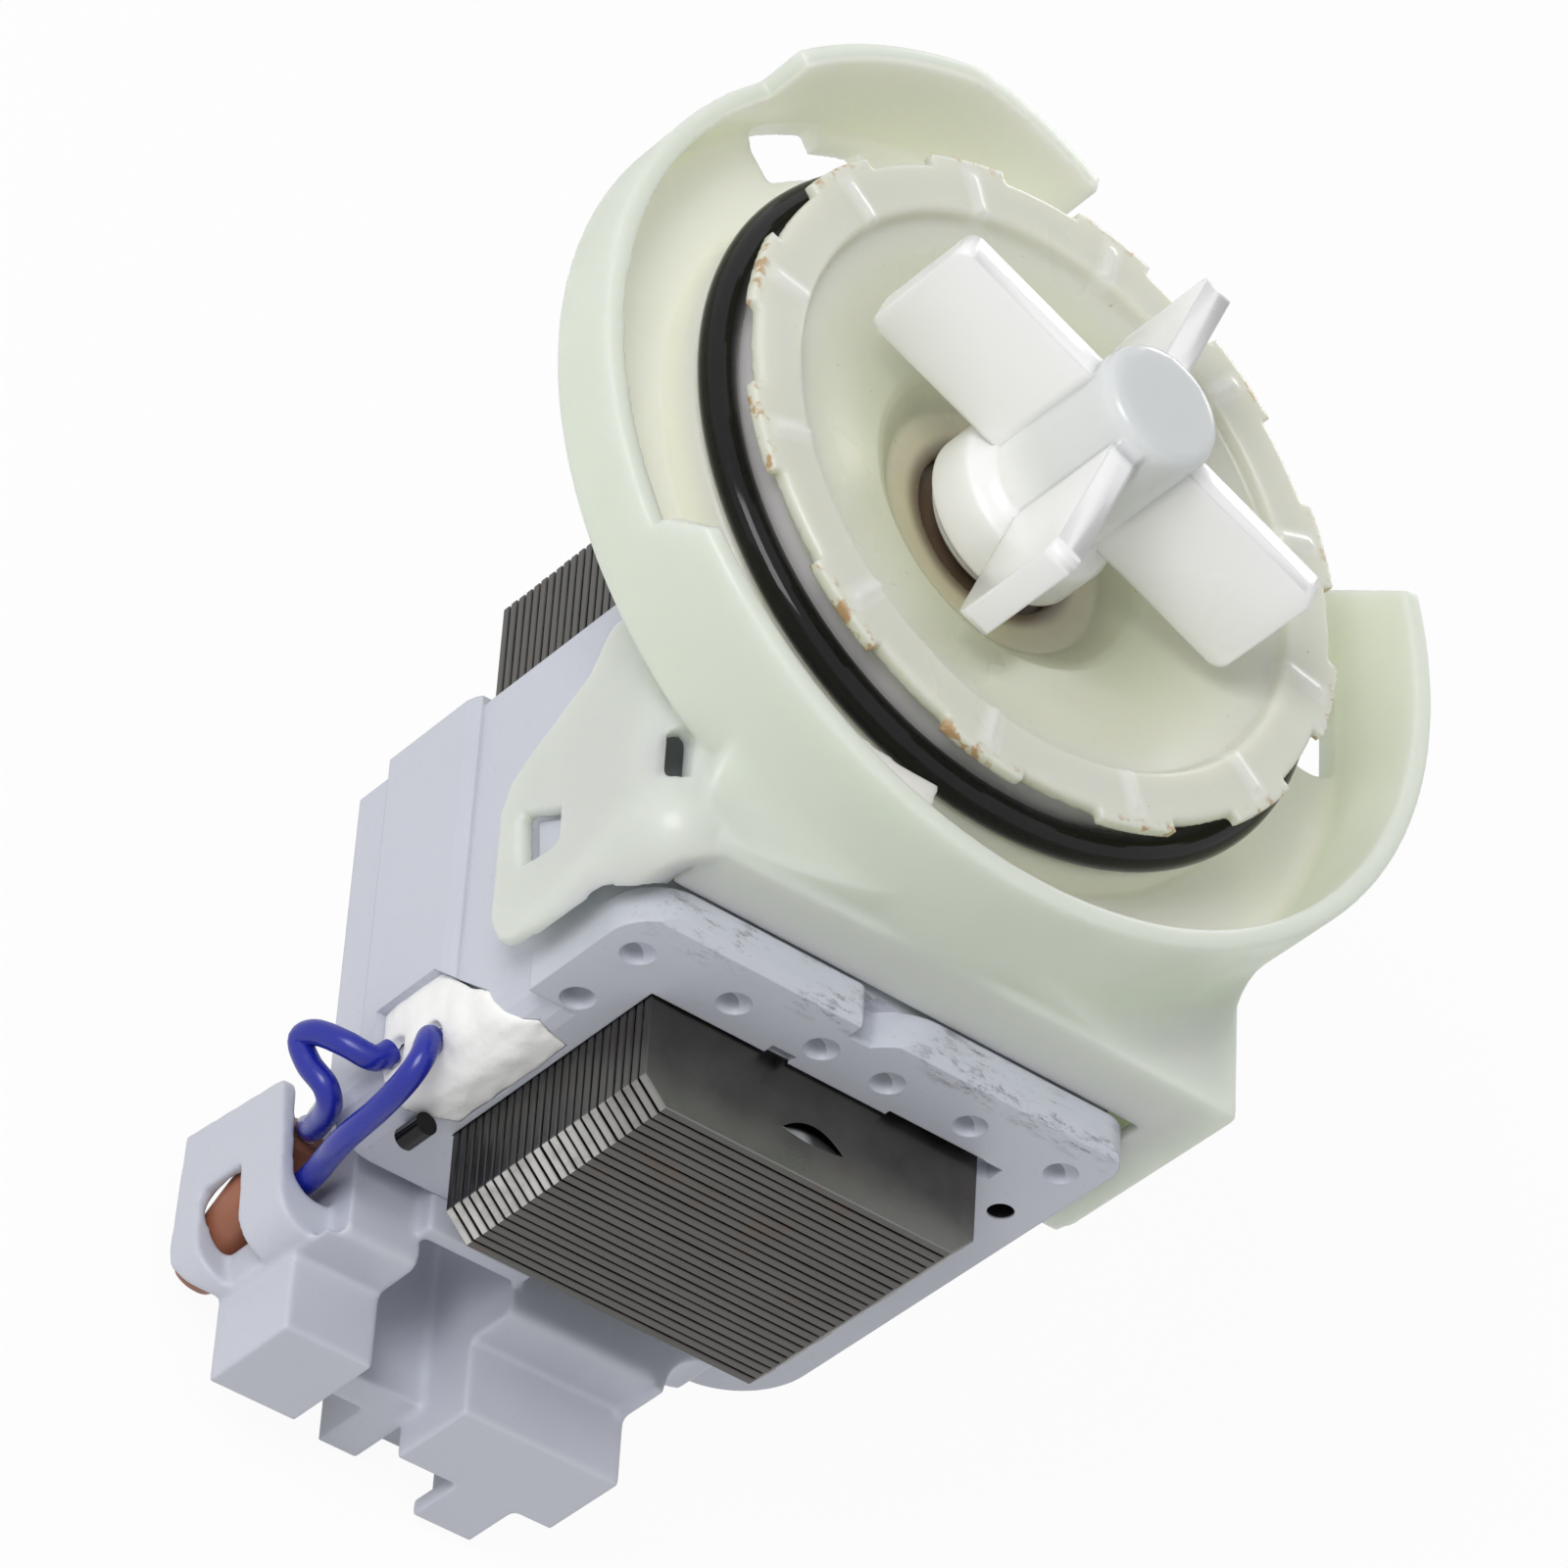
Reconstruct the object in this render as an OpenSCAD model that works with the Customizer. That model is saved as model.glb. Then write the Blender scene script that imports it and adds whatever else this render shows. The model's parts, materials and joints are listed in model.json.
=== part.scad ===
/* [Motor core] */
// Number of steel laminations in the core stack
lam_count = 25; // [20:1:28]
// Thickness of one lamination with its coating
lam_pitch = 1.0; // [0.9:0.05:1.1]
// Width of the groove seen between two laminations
lam_groove = 0.2; // [0.1:0.05:0.3]
// Width over the two legs of the core
core_w = 32.2; // [31:0.1:34]
// Gap between the two legs
leg_gap = 12; // [10:0.5:13]
// Height of the yoke below the legs
yoke_h = 10; // [8:0.5:11]
// How far the yoke stands out under the coil housing
yoke_out = 9.4; // [8:0.1:10]
// Height of the leg ends above the pump axis
pole_rise = 9.4; // [8.5:0.1:10.5]
// Chamfer on the two lower edges of the yoke
yoke_chamfer = 2.15; // [1:0.05:3]
// Radius of the bore between the poles
pole_bore_r = 12.2; // [12:0.1:12.8]
// Depth of the front lamination behind the seal
core_setback = 20.75; // [19.5:0.25:22]

/* [Coil housing] */
// Distance from the pump axis down to the housing face
housing_drop = 43.3; // [42:0.1:46]
// Distance from the pump axis down to the housing top
housing_top = 10; // [9:0.5:11.5]
// Distance from the pump axis to the left side
housing_left = 23.2; // [23:0.1:24]
// Distance from the pump axis to the right side
housing_right = 24.8; // [24.4:0.1:26]
// Depth of the housing front behind the seal
housing_front = 13.4; // [12.6:0.1:14]
// Depth of the rear wall behind the seal
housing_rear = 53; // [52.6:0.1:55]
// Depth of the right rear bulge behind the seal
bulge_rear = 60; // [58:0.5:62]
// Radius of the round dimples in the housing face
dimple_r = 1.4; // [1:0.1:1.6]
// How far the side panel stands out on the left
panel_out = 0.8; // [0.6:0.1:1.2]
// Height of the terminal blocks below the housing face
block_drop = 12.7; // [11:0.1:15]
// Length of the terminal blocks from front to rear
block_len = 10.3; // [9.5:0.1:12]

/* [Coils] */
// Wall of the bobbin tube and of its flanges
bobbin_wall = 0.9; // [0.7:0.1:1.1]
// Depth of the wire wound on each bobbin
winding_build = 3.2; // [2.6:0.1:3.4]

/* [Rotor] */
// Radius of the rotor shaft
shaft_r = 2; // [1.5:0.1:2.4]
// Wall of the sealed can round the rotor
can_wall = 1; // [0.8:0.1:1.1]
// Air gap between the magnet and the can
air_gap = 0.7; // [0.5:0.1:0.9]
// Radius of the hole through the magnet
magnet_bore_r = 6; // [5.5:0.1:6.5]
// Radius of the front bearing
front_bearing_r = 4.5; // [4:0.1:5]
// Length of the front bearing
front_bearing_len = 6.4; // [5.5:0.1:7]
// Radius of the rear bearing
rear_bearing_r = 4; // [3.6:0.1:4.4]
// Length of the rear bearing
rear_bearing_len = 5; // [4:0.5:6]

/* [Impeller] */
// Radius over the four blades
blade_r = 19.6; // [17:0.1:22]
// Thickness of a blade
blade_t = 2.6; // [2:0.1:3]
// Height of the lower blade edge above the seal
blade_z0 = 4.4; // [4:0.1:5]
// Height of the upper blade edge above the seal
blade_z1 = 15.8; // [14:0.1:17]
// Height of the hub tip above the seal
hub_tip_z = 18.3; // [18:0.1:20]
// Radius of the hub
hub_r = 5.6; // [5:0.1:6]
// Radius of the boss over the drive chamber
boss_r = 7.6; // [7.3:0.1:7.9]
// Turn of the blades as photographed
blade_turn = 67.7; // [0:0.1:89]
// Sweep of the drive lug and of the dog
dog_sweep = 85; // [70:1:85]

/* [Chamber cover] */
// Radius over the teeth of the cover
tooth_r = 30; // [29.6:0.1:30.5]
// Number of teeth round the cover
tooth_count = 12; // [8:1:16]
// Radius of the rim between the teeth
cover_rim_r = 29.1; // [28.8:0.1:29.4]
// Height of the cover rim above the seal
cover_top = 4.8; // [4.4:0.1:5.2]
// Thickness of the cover
cover_t = 1.3; // [1:0.1:1.6]
// Radius of the hole round the impeller boss
cover_bore_r = 7.2; // [7:0.1:8]

/* [Seal] */
// Radius of the centre line of the sealing ring
ring_r = 29.46; // [29.2:0.02:29.7]
// Thickness of the sealing ring
ring_t = 3; // [2.6:0.1:3.2]

/* [Front bracket] */
// Outside radius of the cup
cup_r = 40; // [39:0.5:43]
// Wall thickness of the cup and its skirt
cup_wall = 1.8; // [1.4:0.1:2.2]
// Height of the raised cup rim above the seal
rim_z = 5; // [4:0.1:6.5]
// Depth of the cup floor behind the seal
floor_z = 7; // [6.5:0.1:8]
// Thickness of the cup floor
floor_t = 1.5; // [1.2:0.1:1.8]
// Wall of the spigot that carries the seal
spigot_wall = 1.9; // [1.5:0.1:2.2]
// Distance from the pump axis to the left foot
foot_left = 27; // [26.6:0.1:28]
// Distance from the pump axis to the right foot
foot_right = 30; // [29:0.1:31]
// Depth of the feet behind the seal
foot_rear = 27.4; // [26:0.1:30]

/* [Wiring] */
// Thickness of the two leads
lead_d = 2.1; // [1.8:0.1:2.2]
// Radius of the thermal protector
protector_r = 2.4; // [2:0.1:2.5]
// Length of the thermal protector
protector_len = 16; // [14:0.5:17]

/* [Hidden] */
$fn = 96;
eps = 0.01;

// Fits: running pieces, pieces pushed together, pieces laid face to face
run_fit = 0.05;
push_fit = 0.05;
face_fit = 0.05;

// Core
core_h = lam_count * lam_pitch;
core_front = -core_setback;
core_back = core_front - core_h;
core_half = core_w / 2;
leg_w = (core_w - leg_gap) / 2;
leg_mid = (leg_gap + leg_w) / 2;
core_bottom = -housing_drop - yoke_out;
yoke_top = core_bottom + yoke_h;
groove_depth = 0.15;

// Coil housing
face_y = -housing_drop;
top_y = -housing_top;
strip_h = 3.3;
strip_bevel = 0.9;
strip_end_r = 2.8;
strip_front = -housing_front + strip_bevel;
front_corner_r = 4.5;
bulge_corner_r = 7;
bulge_x = 6;
panel_z0 = -36.4;
panel_z1 = -48;
dimple_depth = 1.1;
dimple_ball_r = (dimple_r * dimple_r + dimple_depth * dimple_depth) / (2 * dimple_depth);
dimple_x = [-20, -10.8, -2.3, 4.2, 12.4, 21.6];
dimple_inset = 4.1;
edge_r = 4.5;
edge_front = 26.7;
sealant_x = -core_half - 0.6;
sealant_top = -35.2;
sealant_t = 1;

// Coils
bobbin_y0 = yoke_top + 5.2;
bobbin_y1 = top_y - 4;
bobbin_fit = 0.15;
tube_x = leg_w / 2 + bobbin_fit + bobbin_wall;
tube_z = core_h / 2 + bobbin_fit + bobbin_wall;
flange_over = winding_build + 0.5;
core_mid_z = (core_front + core_back) / 2;

// Rotor, from the front bearing back
can_r = pole_bore_r - 0.2;
can_bore_r = can_r - can_wall;
magnet_r = can_bore_r - air_gap;
front_bearing_z = -6.4;
washer_t = 0.6;
washer_r = 3.8;
front_bearing_back = front_bearing_z - front_bearing_len;
front_washer_z = front_bearing_back - 0.15;
neck_front = front_washer_z - washer_t - face_fit;
neck_r = 4;
magnet_front = core_front + 1;
magnet_back = core_back - 1;
carrier_cap_t = 1.2;
carrier_cap_r = magnet_r - 1.3;
carrier_back = magnet_back - carrier_cap_t;
rear_washer_z = carrier_back - face_fit;
rear_bearing_z = rear_washer_z - washer_t - 0.15;
rear_bearing_back = rear_bearing_z - rear_bearing_len;
can_end_z = carrier_back - 0.9;
nose_bore_r = rear_bearing_r + 2.5;
nose_r = nose_bore_r + can_wall;
nose_end_z = rear_bearing_back - 0.8;
shaft_back = rear_bearing_back - 0.1;

// Impeller and its drive
boss_z0 = -1.2;
boss_z1 = 3.5;
cap_t = 1.1;
cap_lip = 0.5;
cap_r = boss_r - 1.1;
chamber_r = boss_r - 1.7;
chamber_top = boss_z1 - 0.5;
shaft_front = blade_z1 - 2.4;
dog_ring_r = shaft_r + 1.6;
dog_r = chamber_r - 0.8;
buffer_r = chamber_r - 0.2;
buffer_wrap = 10;
dog_z0 = boss_z0 + cap_lip + 0.2;
dog_z1 = chamber_top - 0.2;
dog_turn = blade_turn - 45;
lug_turn = dog_turn + 90;
corner_r = 1.2;

// Cover
tooth_pitch = 360 / tooth_count;
tooth_sweep = tooth_pitch / 2;
tooth_turn = -160.6;
rim_in_r = 25;
dish_edge_r = 13.6;
recess_r = 10.8;
recess_z = -2.6;
collar_r = can_bore_r - 0.1;
collar_z = -6;
lip_seal_r = collar_r - 1.6;

// Bracket
spigot_r = ring_r - ring_t / 2 - 0.06;
spigot_in_r = spigot_r - spigot_wall;
spigot_top = cover_top - cover_t - face_fit;
shoulder_r = spigot_r + 2.6;
shoulder_z = -ring_t / 2 - 0.06;
cup_in_r = cup_r - cup_wall;
floor_top = -floor_z + floor_t;
skirt_front = -6;
skirt_back = strip_front + 0.1;
skirt_bottom = -cup_r;
skirt_top = -14.5;
left_low = skirt_bottom - 2;
skirt_t = 1.5;

// Terminal carrier
block_y = face_y - block_drop;
block_front = -bulge_rear;
block_back = block_front - block_len;
block1_x = [-20.3, -11.8];
block2_x = [-2.9, 12.5];
shelf_y = -49.1;
shelf_z = block_front + 5.2;
clamp_x0 = -24;
clamp_t = 1.4;
socket_w = 6.9;
socket_h = 4.6;
socket_floor = 1.6;
socket_y = block_y + 1.4 + socket_h / 2;
tab_w = 6.3;
tab_t = 0.8;

// Thermal protector, tilted in the clamp
protector_at = [-20.3, -37.4, -60.4];
protector_tilt = 27;

// Stub of black sleeve behind the sealant
sleeve_r = 1;
sleeve_len = 2.8;

// Lead routes, from the sealant to the clamp
lead_in_route = [[-23.4, -39.6, -44.4], [-24.6, -40.6, -44.9], [-26.8, -39.8, -45.8],
    [-28.2, -38.4, -47.8], [-28.4, -38.2, -49.6], [-27.6, -40.2, -49.4], [-26.2, -42, -48.8],
    [-24.8, -42.6, -50.2], [-23.1, -41.3, -54.4], [-21.35, -38.9, -57.9], [-20.6, -37.6, -59.5]];
lead_out_route = [[-23, -40.6, -39.8], [-23.6, -41.8, -39.2], [-24, -43.4, -39.2],
    [-24.2, -44.8, -40.8], [-24, -45.4, -44.6], [-23.4, -45.2, -50], [-21.3, -43.8, -57],
    [-21, -43.7, -60.2], [-20.5, -43.7, -62.2], [-19.7, -43.7, -62.9]];

module plan(y0, y1) {
    translate([0, y1, 0])
        rotate([90, 0, 0])
            linear_extrude(y1 - y0)
                children();
}

// Shape given as (y, z), spread along x
module side(x0, x1) {
    translate([x0, 0, 0])
        rotate([90, 0, 90])
            linear_extrude(x1 - x0)
                children();
}

module slab(x, y, z) {
    translate([x[0], y[0], z[0]])
        cube([x[1] - x[0], y[1] - y[0], z[1] - z[0]]);
}

module disc(r, z0, z1) {
    translate([0, 0, z0])
        cylinder(r = r, h = z1 - z0);
}

module ring(r_in, r_out, z0, z1) {
    difference() {
        disc(r_out, z0, z1);
        disc(r_in, z0 - 1, z1 + 1);
    }
}

// Pie slice from angle a0 to a1
module wedge(r, a0, a1, z0, z1) {
    steps = ceil((a1 - a0) / 15);
    rim = [for (i = [0:steps]) a0 + (a1 - a0) * i / steps];
    translate([0, 0, z0])
        linear_extrude(z1 - z0)
            polygon(concat([[0, 0]], [for (a = rim) 1.2 * r * [cos(a), sin(a)]]));
}

// Rectangle with round corners, from one corner to the other
module round_rect(p, q, r) {
    translate([p[0] + r, p[1]])
        square([q[0] - p[0] - 2 * r, q[1] - p[1]]);
    translate([p[0], p[1] + r])
        square([q[0] - p[0], q[1] - p[1] - 2 * r]);
    for (x = [p[0] + r, q[0] - r], y = [p[1] + r, q[1] - r])
        translate([x, y])
            circle(r, $fn = 32);
}

// Ring of points round a route at one of its points
function unit(v) = v / norm(v);
function heading(path, i) =
    unit(path[min(i + 1, len(path) - 1)] - path[max(i - 1, 0)]);
function side_of(d) = unit(cross(d, [0, 1, 0.3]));
function tube_ring(path, i, r, n) =
    let (d = heading(path, i), u = side_of(d), v = cross(d, u))
    [for (k = [0:n - 1]) path[i] + r * (cos(360 * k / n) * u + sin(360 * k / n) * v)];

// Points between the route's own, on a smooth curve through them
function curve_point(p, i, t) =
    let (a = p[max(i - 1, 0)], b = p[i], c = p[i + 1], d = p[min(i + 2, len(p) - 1)])
    0.5 * (2 * b + (c - a) * t + (2 * a - 5 * b + 4 * c - d) * t * t
        + (3 * b - a - 3 * c + d) * t * t * t);
function smooth_path(p, n) =
    concat([for (i = [0:len(p) - 2], k = [0:n - 1]) curve_point(p, i, k / n)], [p[len(p) - 1]]);

module tube(route, d) {
    sides = 8;
    path = smooth_path(route, 3);
    last = len(path) - 1;
    points = [for (i = [0:last], q = tube_ring(path, i, d / 2, sides)) q];
    walls = [for (i = [0:last - 1], k = [0:sides - 1], half = [0, 1])
        let (a = i * sides + k, b = i * sides + (k + 1) % sides)
        half == 0 ? [a, b + sides, b] : [a, a + sides, b + sides]];
    start = [for (k = [1:sides - 2]) [0, k, k + 1]];
    end = last * sides;
    finish = [for (k = [1:sides - 2]) [end, end + k + 1, end + k]];
    polyhedron(points, concat(walls, start, finish));
}

module impeller_blade() {
    rotate([90, 0, 0])
        translate([0, 0, -blade_t / 2])
            linear_extrude(blade_t)
                round_rect([shaft_r + 1, blade_z0], [blade_r, blade_z1], corner_r);
}

module impeller() {
    color("white") {
        difference() {
            union() {
                rotate_extrude()
                    polygon([[0, boss_z0], [boss_r - 0.5, boss_z0], [boss_r, boss_z0 + 0.5],
                        [boss_r, boss_z1 - 0.4], [boss_r - 0.4, boss_z1], [hub_r + 0.5, boss_z1 + 0.8],
                        [hub_r, boss_z1 + 1.5], [hub_r - 0.1, hub_tip_z - 1],
                        [hub_r - 0.4, hub_tip_z - 0.3], [hub_r - 1.1, hub_tip_z], [0, hub_tip_z]]);
                for (k = [0:3])
                    rotate([0, 0, blade_turn + 90 * k])
                        impeller_blade();
            }
            disc(chamber_r, boss_z0 - 1, chamber_top);
            disc(shaft_r + run_fit, 0, shaft_front + 0.4);
        }
        intersection() {
            ring(dog_ring_r + 0.2, chamber_r + 0.3, dog_z0, chamber_top + 0.2);
            wedge(boss_r, lug_turn - dog_sweep / 2, lug_turn + dog_sweep / 2, dog_z0, chamber_top + 0.2);
        }
    }
}

// Closes the drive chamber from below and keeps the impeller on the dog
module impeller_cap() {
    color("white")
        difference() {
            union() {
                rotate_extrude()
                    polygon([[0, boss_z0 - cap_t], [cap_r - 0.3, boss_z0 - cap_t],
                        [cap_r, boss_z0 - cap_t + 0.3], [cap_r, boss_z0], [0, boss_z0]]);
                disc(chamber_r - push_fit, boss_z0 - eps, boss_z0 + cap_lip);
            }
            disc(shaft_r + 0.2, -floor_z, boss_z1);
        }
}

module drive_dog() {
    color("dimgray")
        difference() {
            union() {
                disc(dog_ring_r, dog_z0, dog_z1);
                intersection() {
                    disc(dog_r, dog_z0, dog_z1);
                    wedge(boss_r, dog_turn - dog_sweep / 2 + buffer_wrap,
                        dog_turn + dog_sweep / 2 - buffer_wrap, dog_z0, dog_z1);
                }
            }
            disc(shaft_r + push_fit, dog_z0 - 1, dog_z1 + 1);
        }
}

module drive_buffer() {
    gap = 0.5;
    color("black")
        difference() {
            intersection() {
                ring(dog_ring_r + push_fit, buffer_r, dog_z0, dog_z1);
                wedge(boss_r, dog_turn - dog_sweep / 2, dog_turn + dog_sweep / 2, dog_z0, dog_z1);
            }
            intersection() {
                disc(dog_r + push_fit, dog_z0 - 1, dog_z1 + 1);
                wedge(boss_r, dog_turn - dog_sweep / 2 + buffer_wrap - gap,
                    dog_turn + dog_sweep / 2 - buffer_wrap + gap, dog_z0 - 1, dog_z1 + 1);
            }
        }
}

module chamber_cover() {
    under = cover_top - cover_t;
    skirt_r = spigot_in_r - 0.1;
    color("ivory") {
        rotate_extrude()
            polygon([[cover_bore_r, recess_z], [recess_r, recess_z], [recess_r + 0.4, recess_z + 0.4],
                [dish_edge_r - 0.8, -0.5], [dish_edge_r, 0], [rim_in_r - 0.5, under],
                [rim_in_r - 0.2, cover_top - 0.3], [rim_in_r + 0.1, cover_top],
                [cover_rim_r - 0.3, cover_top], [cover_rim_r, cover_top - 0.3],
                [cover_rim_r, under], [skirt_r, under], [skirt_r, -2],
                [skirt_r - cover_t, -2], [skirt_r - cover_t, under - cover_t - 0.5],
                [dish_edge_r + 0.3, -cover_t], [collar_r, recess_z - cover_t], [collar_r, collar_z],
                [collar_r - cover_t, collar_z], [collar_r - cover_t, recess_z - cover_t],
                [cover_bore_r, recess_z - cover_t]]);
        for (k = [0:tooth_count - 1])
            rotate([0, 0, tooth_turn + k * tooth_pitch]) {
                intersection() {
                    ring(rim_in_r + 1, tooth_r, under + 0.1, cover_top);
                    wedge(tooth_r, -tooth_sweep / 2, tooth_sweep / 2, under, cover_top);
                }
                translate([rim_in_r, -0.25, cover_top - 0.2])
                    cube([cover_rim_r - rim_in_r - 0.8, 0.5, 0.45]);
            }
    }
}

module seal_o_ring() {
    color("black")
        rotate_extrude()
            translate([ring_r, 0])
                circle(ring_t / 2, $fn = 32);
}

module lip_seal() {
    seal_top = recess_z - cover_t - face_fit;
    color("black")
        rotate_extrude()
            polygon([[shaft_r + run_fit, collar_z + 0.6], [shaft_r + run_fit, seal_top - 0.6],
                [shaft_r + 0.7, seal_top], [lip_seal_r, seal_top], [lip_seal_r, collar_z + 0.2],
                [shaft_r + 1.6, collar_z + 0.2], [shaft_r + 1.1, collar_z + 1.2]]);
}

module front_grommet() {
    color("black")
        ring(front_bearing_r + push_fit, can_bore_r - push_fit, front_bearing_back + 0.3,
            collar_z - face_fit);
}

module front_bearing() {
    color("goldenrod")
        ring(shaft_r + run_fit, front_bearing_r, front_bearing_back, front_bearing_z);
}

module rear_grommet() {
    color("black")
        ring(rear_bearing_r + push_fit, nose_bore_r - push_fit, rear_bearing_back, rear_bearing_z - 0.4);
}

module rear_bearing() {
    color("goldenrod")
        ring(shaft_r + run_fit, rear_bearing_r, rear_bearing_back, rear_bearing_z);
}

module thrust_washer(z0) {
    color("dimgray")
        ring(shaft_r + push_fit, washer_r, z0 - washer_t, z0);
}

module thrust_washer_front() {
    thrust_washer(front_washer_z);
}

module thrust_washer_rear() {
    thrust_washer(rear_washer_z);
}

module rotor_shaft() {
    color("silver")
        rotate_extrude()
            polygon([[0, shaft_back], [shaft_r - 0.3, shaft_back], [shaft_r, shaft_back + 0.3],
                [shaft_r, shaft_front - 0.4], [shaft_r - 0.4, shaft_front], [0, shaft_front]]);
}

module magnet_carrier() {
    color("dimgray")
        difference() {
            union() {
                disc(neck_r, magnet_front + 1, neck_front);
                disc(carrier_cap_r, magnet_front + face_fit, magnet_front + carrier_cap_t);
                disc(magnet_bore_r - push_fit, carrier_back, magnet_front + 1);
                disc(carrier_cap_r, carrier_back, magnet_back - face_fit);
            }
            disc(shaft_r + push_fit, carrier_back - 1, neck_front + 1);
        }
}

module rotor_magnet() {
    color("gray")
        ring(magnet_bore_r, magnet_r, magnet_back, magnet_front);
}

// Cuts the cup rim: (along the rim, z) seen from outside at one angle
module rim_cut(angle, points) {
    rotate([0, 0, angle])
        side(cup_in_r - 2, cup_r + 2)
            polygon(points);
}

module rim_drop(a0, a1, z) {
    difference() {
        wedge(cup_r + 2, a0, a1, z, rim_z + 1);
        disc(cup_in_r - 3, z - 1, rim_z + 2);
    }
}

// Ramp inside the cup that draws the mating collar down as it turns
module bayonet_ramp() {
    a0 = -131;
    a1 = -104;
    steps = 6;
    inner = [for (i = [0:steps]) let (a = a0 + (a1 - a0) * i / steps)
        (cup_in_r - 4.2 * i / steps) * [cos(a), sin(a)]];
    outer = [for (i = [steps:-1:0]) let (a = a0 + (a1 - a0) * i / steps)
        (cup_in_r + 0.6) * [cos(a), sin(a)]];
    translate([0, 0, 1.2])
        linear_extrude(1.8)
            polygon(concat(inner, outer));
}

module floor_slot(a0, a1, r0, r1) {
    intersection() {
        ring(r0, r1, -floor_z - 1, floor_top + 1);
        wedge(cup_r, a0, a1, -floor_z - 1, floor_top + 1);
    }
}

module cup() {
    fillet = 1.6;
    difference() {
        rotate_extrude()
            polygon([[can_bore_r, -floor_z], [cup_r - 0.8, -floor_z], [cup_r, -floor_z + 0.8],
                [cup_r, rim_z - 0.3], [cup_r - 0.3, rim_z], [cup_in_r + 0.3, rim_z],
                [cup_in_r, rim_z - 0.3], [cup_in_r, floor_top + fillet],
                [cup_in_r - 0.3 * fillet, floor_top + 0.3 * fillet], [cup_in_r - fillet, floor_top],
                [shoulder_r, floor_top], [shoulder_r, shoulder_z], [spigot_r, shoulder_z],
                [spigot_r, spigot_top - 0.4], [spigot_r - 0.4, spigot_top],
                [spigot_in_r, spigot_top], [spigot_in_r, floor_top], [can_bore_r, floor_top]]);
        rim_drop(133, 211, 0);
        rim_cut(211, [[-1, 0], [-1, rim_z + 1], [3.6, rim_z + 1]]);
        rim_cut(93, [[-10, 0.7], [9, 5.4], [9, rim_z + 2], [-10, rim_z + 2]]);
        rim_cut(19, [[-3, rim_z + 1], [2.2, -3.4], [4, rim_z + 1]]);
        difference() {
            wedge(cup_r + 2, 22, 80, -floor_z - 1, rim_z + 1);
            disc(shoulder_r - 0.6, -floor_z - 2, rim_z + 2);
        }
        floor_slot(118, 130, shoulder_r + 3.1, cup_in_r + 0.1);
        floor_slot(111, 119, shoulder_r + 3.8, cup_in_r - 1.6);
        floor_slot(-4.5, 8, shoulder_r + 4.2, cup_in_r + 0.1);
    }
    bayonet_ramp();
}

module rotor_can() {
    difference() {
        union() {
            disc(can_r, can_end_z - can_wall, -floor_z + eps);
            disc(nose_r, nose_end_z - can_wall, can_end_z);
        }
        disc(can_bore_r, can_end_z, 0);
        disc(nose_bore_r, nose_end_z, can_end_z + 1);
    }
}

// Outer form of the skirt, drawn in by t
module skirt_form(t) {
    left_r = 5 - t;
    right_r = max(1.2 - t, 0.2);
    rear_z = -foot_rear - 3 - 2 * t;
    left_x = -foot_left + t + left_r;
    right_x = foot_right - t - right_r;
    hull() {
        for (y = [left_low + t + left_r, skirt_top - left_r])
            translate([left_x, y, skirt_front - t - left_r])
                sphere(left_r, $fn = 32);
        for (y = [left_low + t + right_r, skirt_top - right_r])
            translate([right_x, y, skirt_front - t - right_r])
                sphere(right_r, $fn = 32);
        slab([-foot_left + t, foot_right - t], [left_low + t, skirt_top], [rear_z, rear_z + 1]);
    }
}

// Outline of a foot (y, z) with a rounded toe and a lower edge that rises to it
module foot_profile(bottom_y, toe, rise) {
    polygon([[skirt_top, skirt_front + 1], [skirt_top, -floor_z], [-15.6, -11.5], [-17.2, -14.8],
        [-20.5, -17.1], [-24.1, -24.1], [-25.6, 1 - foot_rear], [-28, -foot_rear],
        [bottom_y + toe, -foot_rear], [bottom_y + 0.66 * toe, 0.15 * toe - foot_rear],
        [bottom_y + 0.3 * toe, 0.38 * toe - foot_rear], [bottom_y + rise, 0.7 * toe - foot_rear],
        [bottom_y, skirt_back], [bottom_y, skirt_front + 1]]);
}

// Front view of the skirt, which follows the top of the housing strip
module skirt_outline(low) {
    mouth_x = -housing_left + 3;
    polygon([[-foot_left - 1, 0], [-foot_left - 1, left_low], [-foot_left + 2.5, left_low + 0.2],
        [mouth_x - 1.5, skirt_bottom - 0.6], [mouth_x, low], [foot_right + 1, low], [foot_right + 1, 0]]);
}

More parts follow.
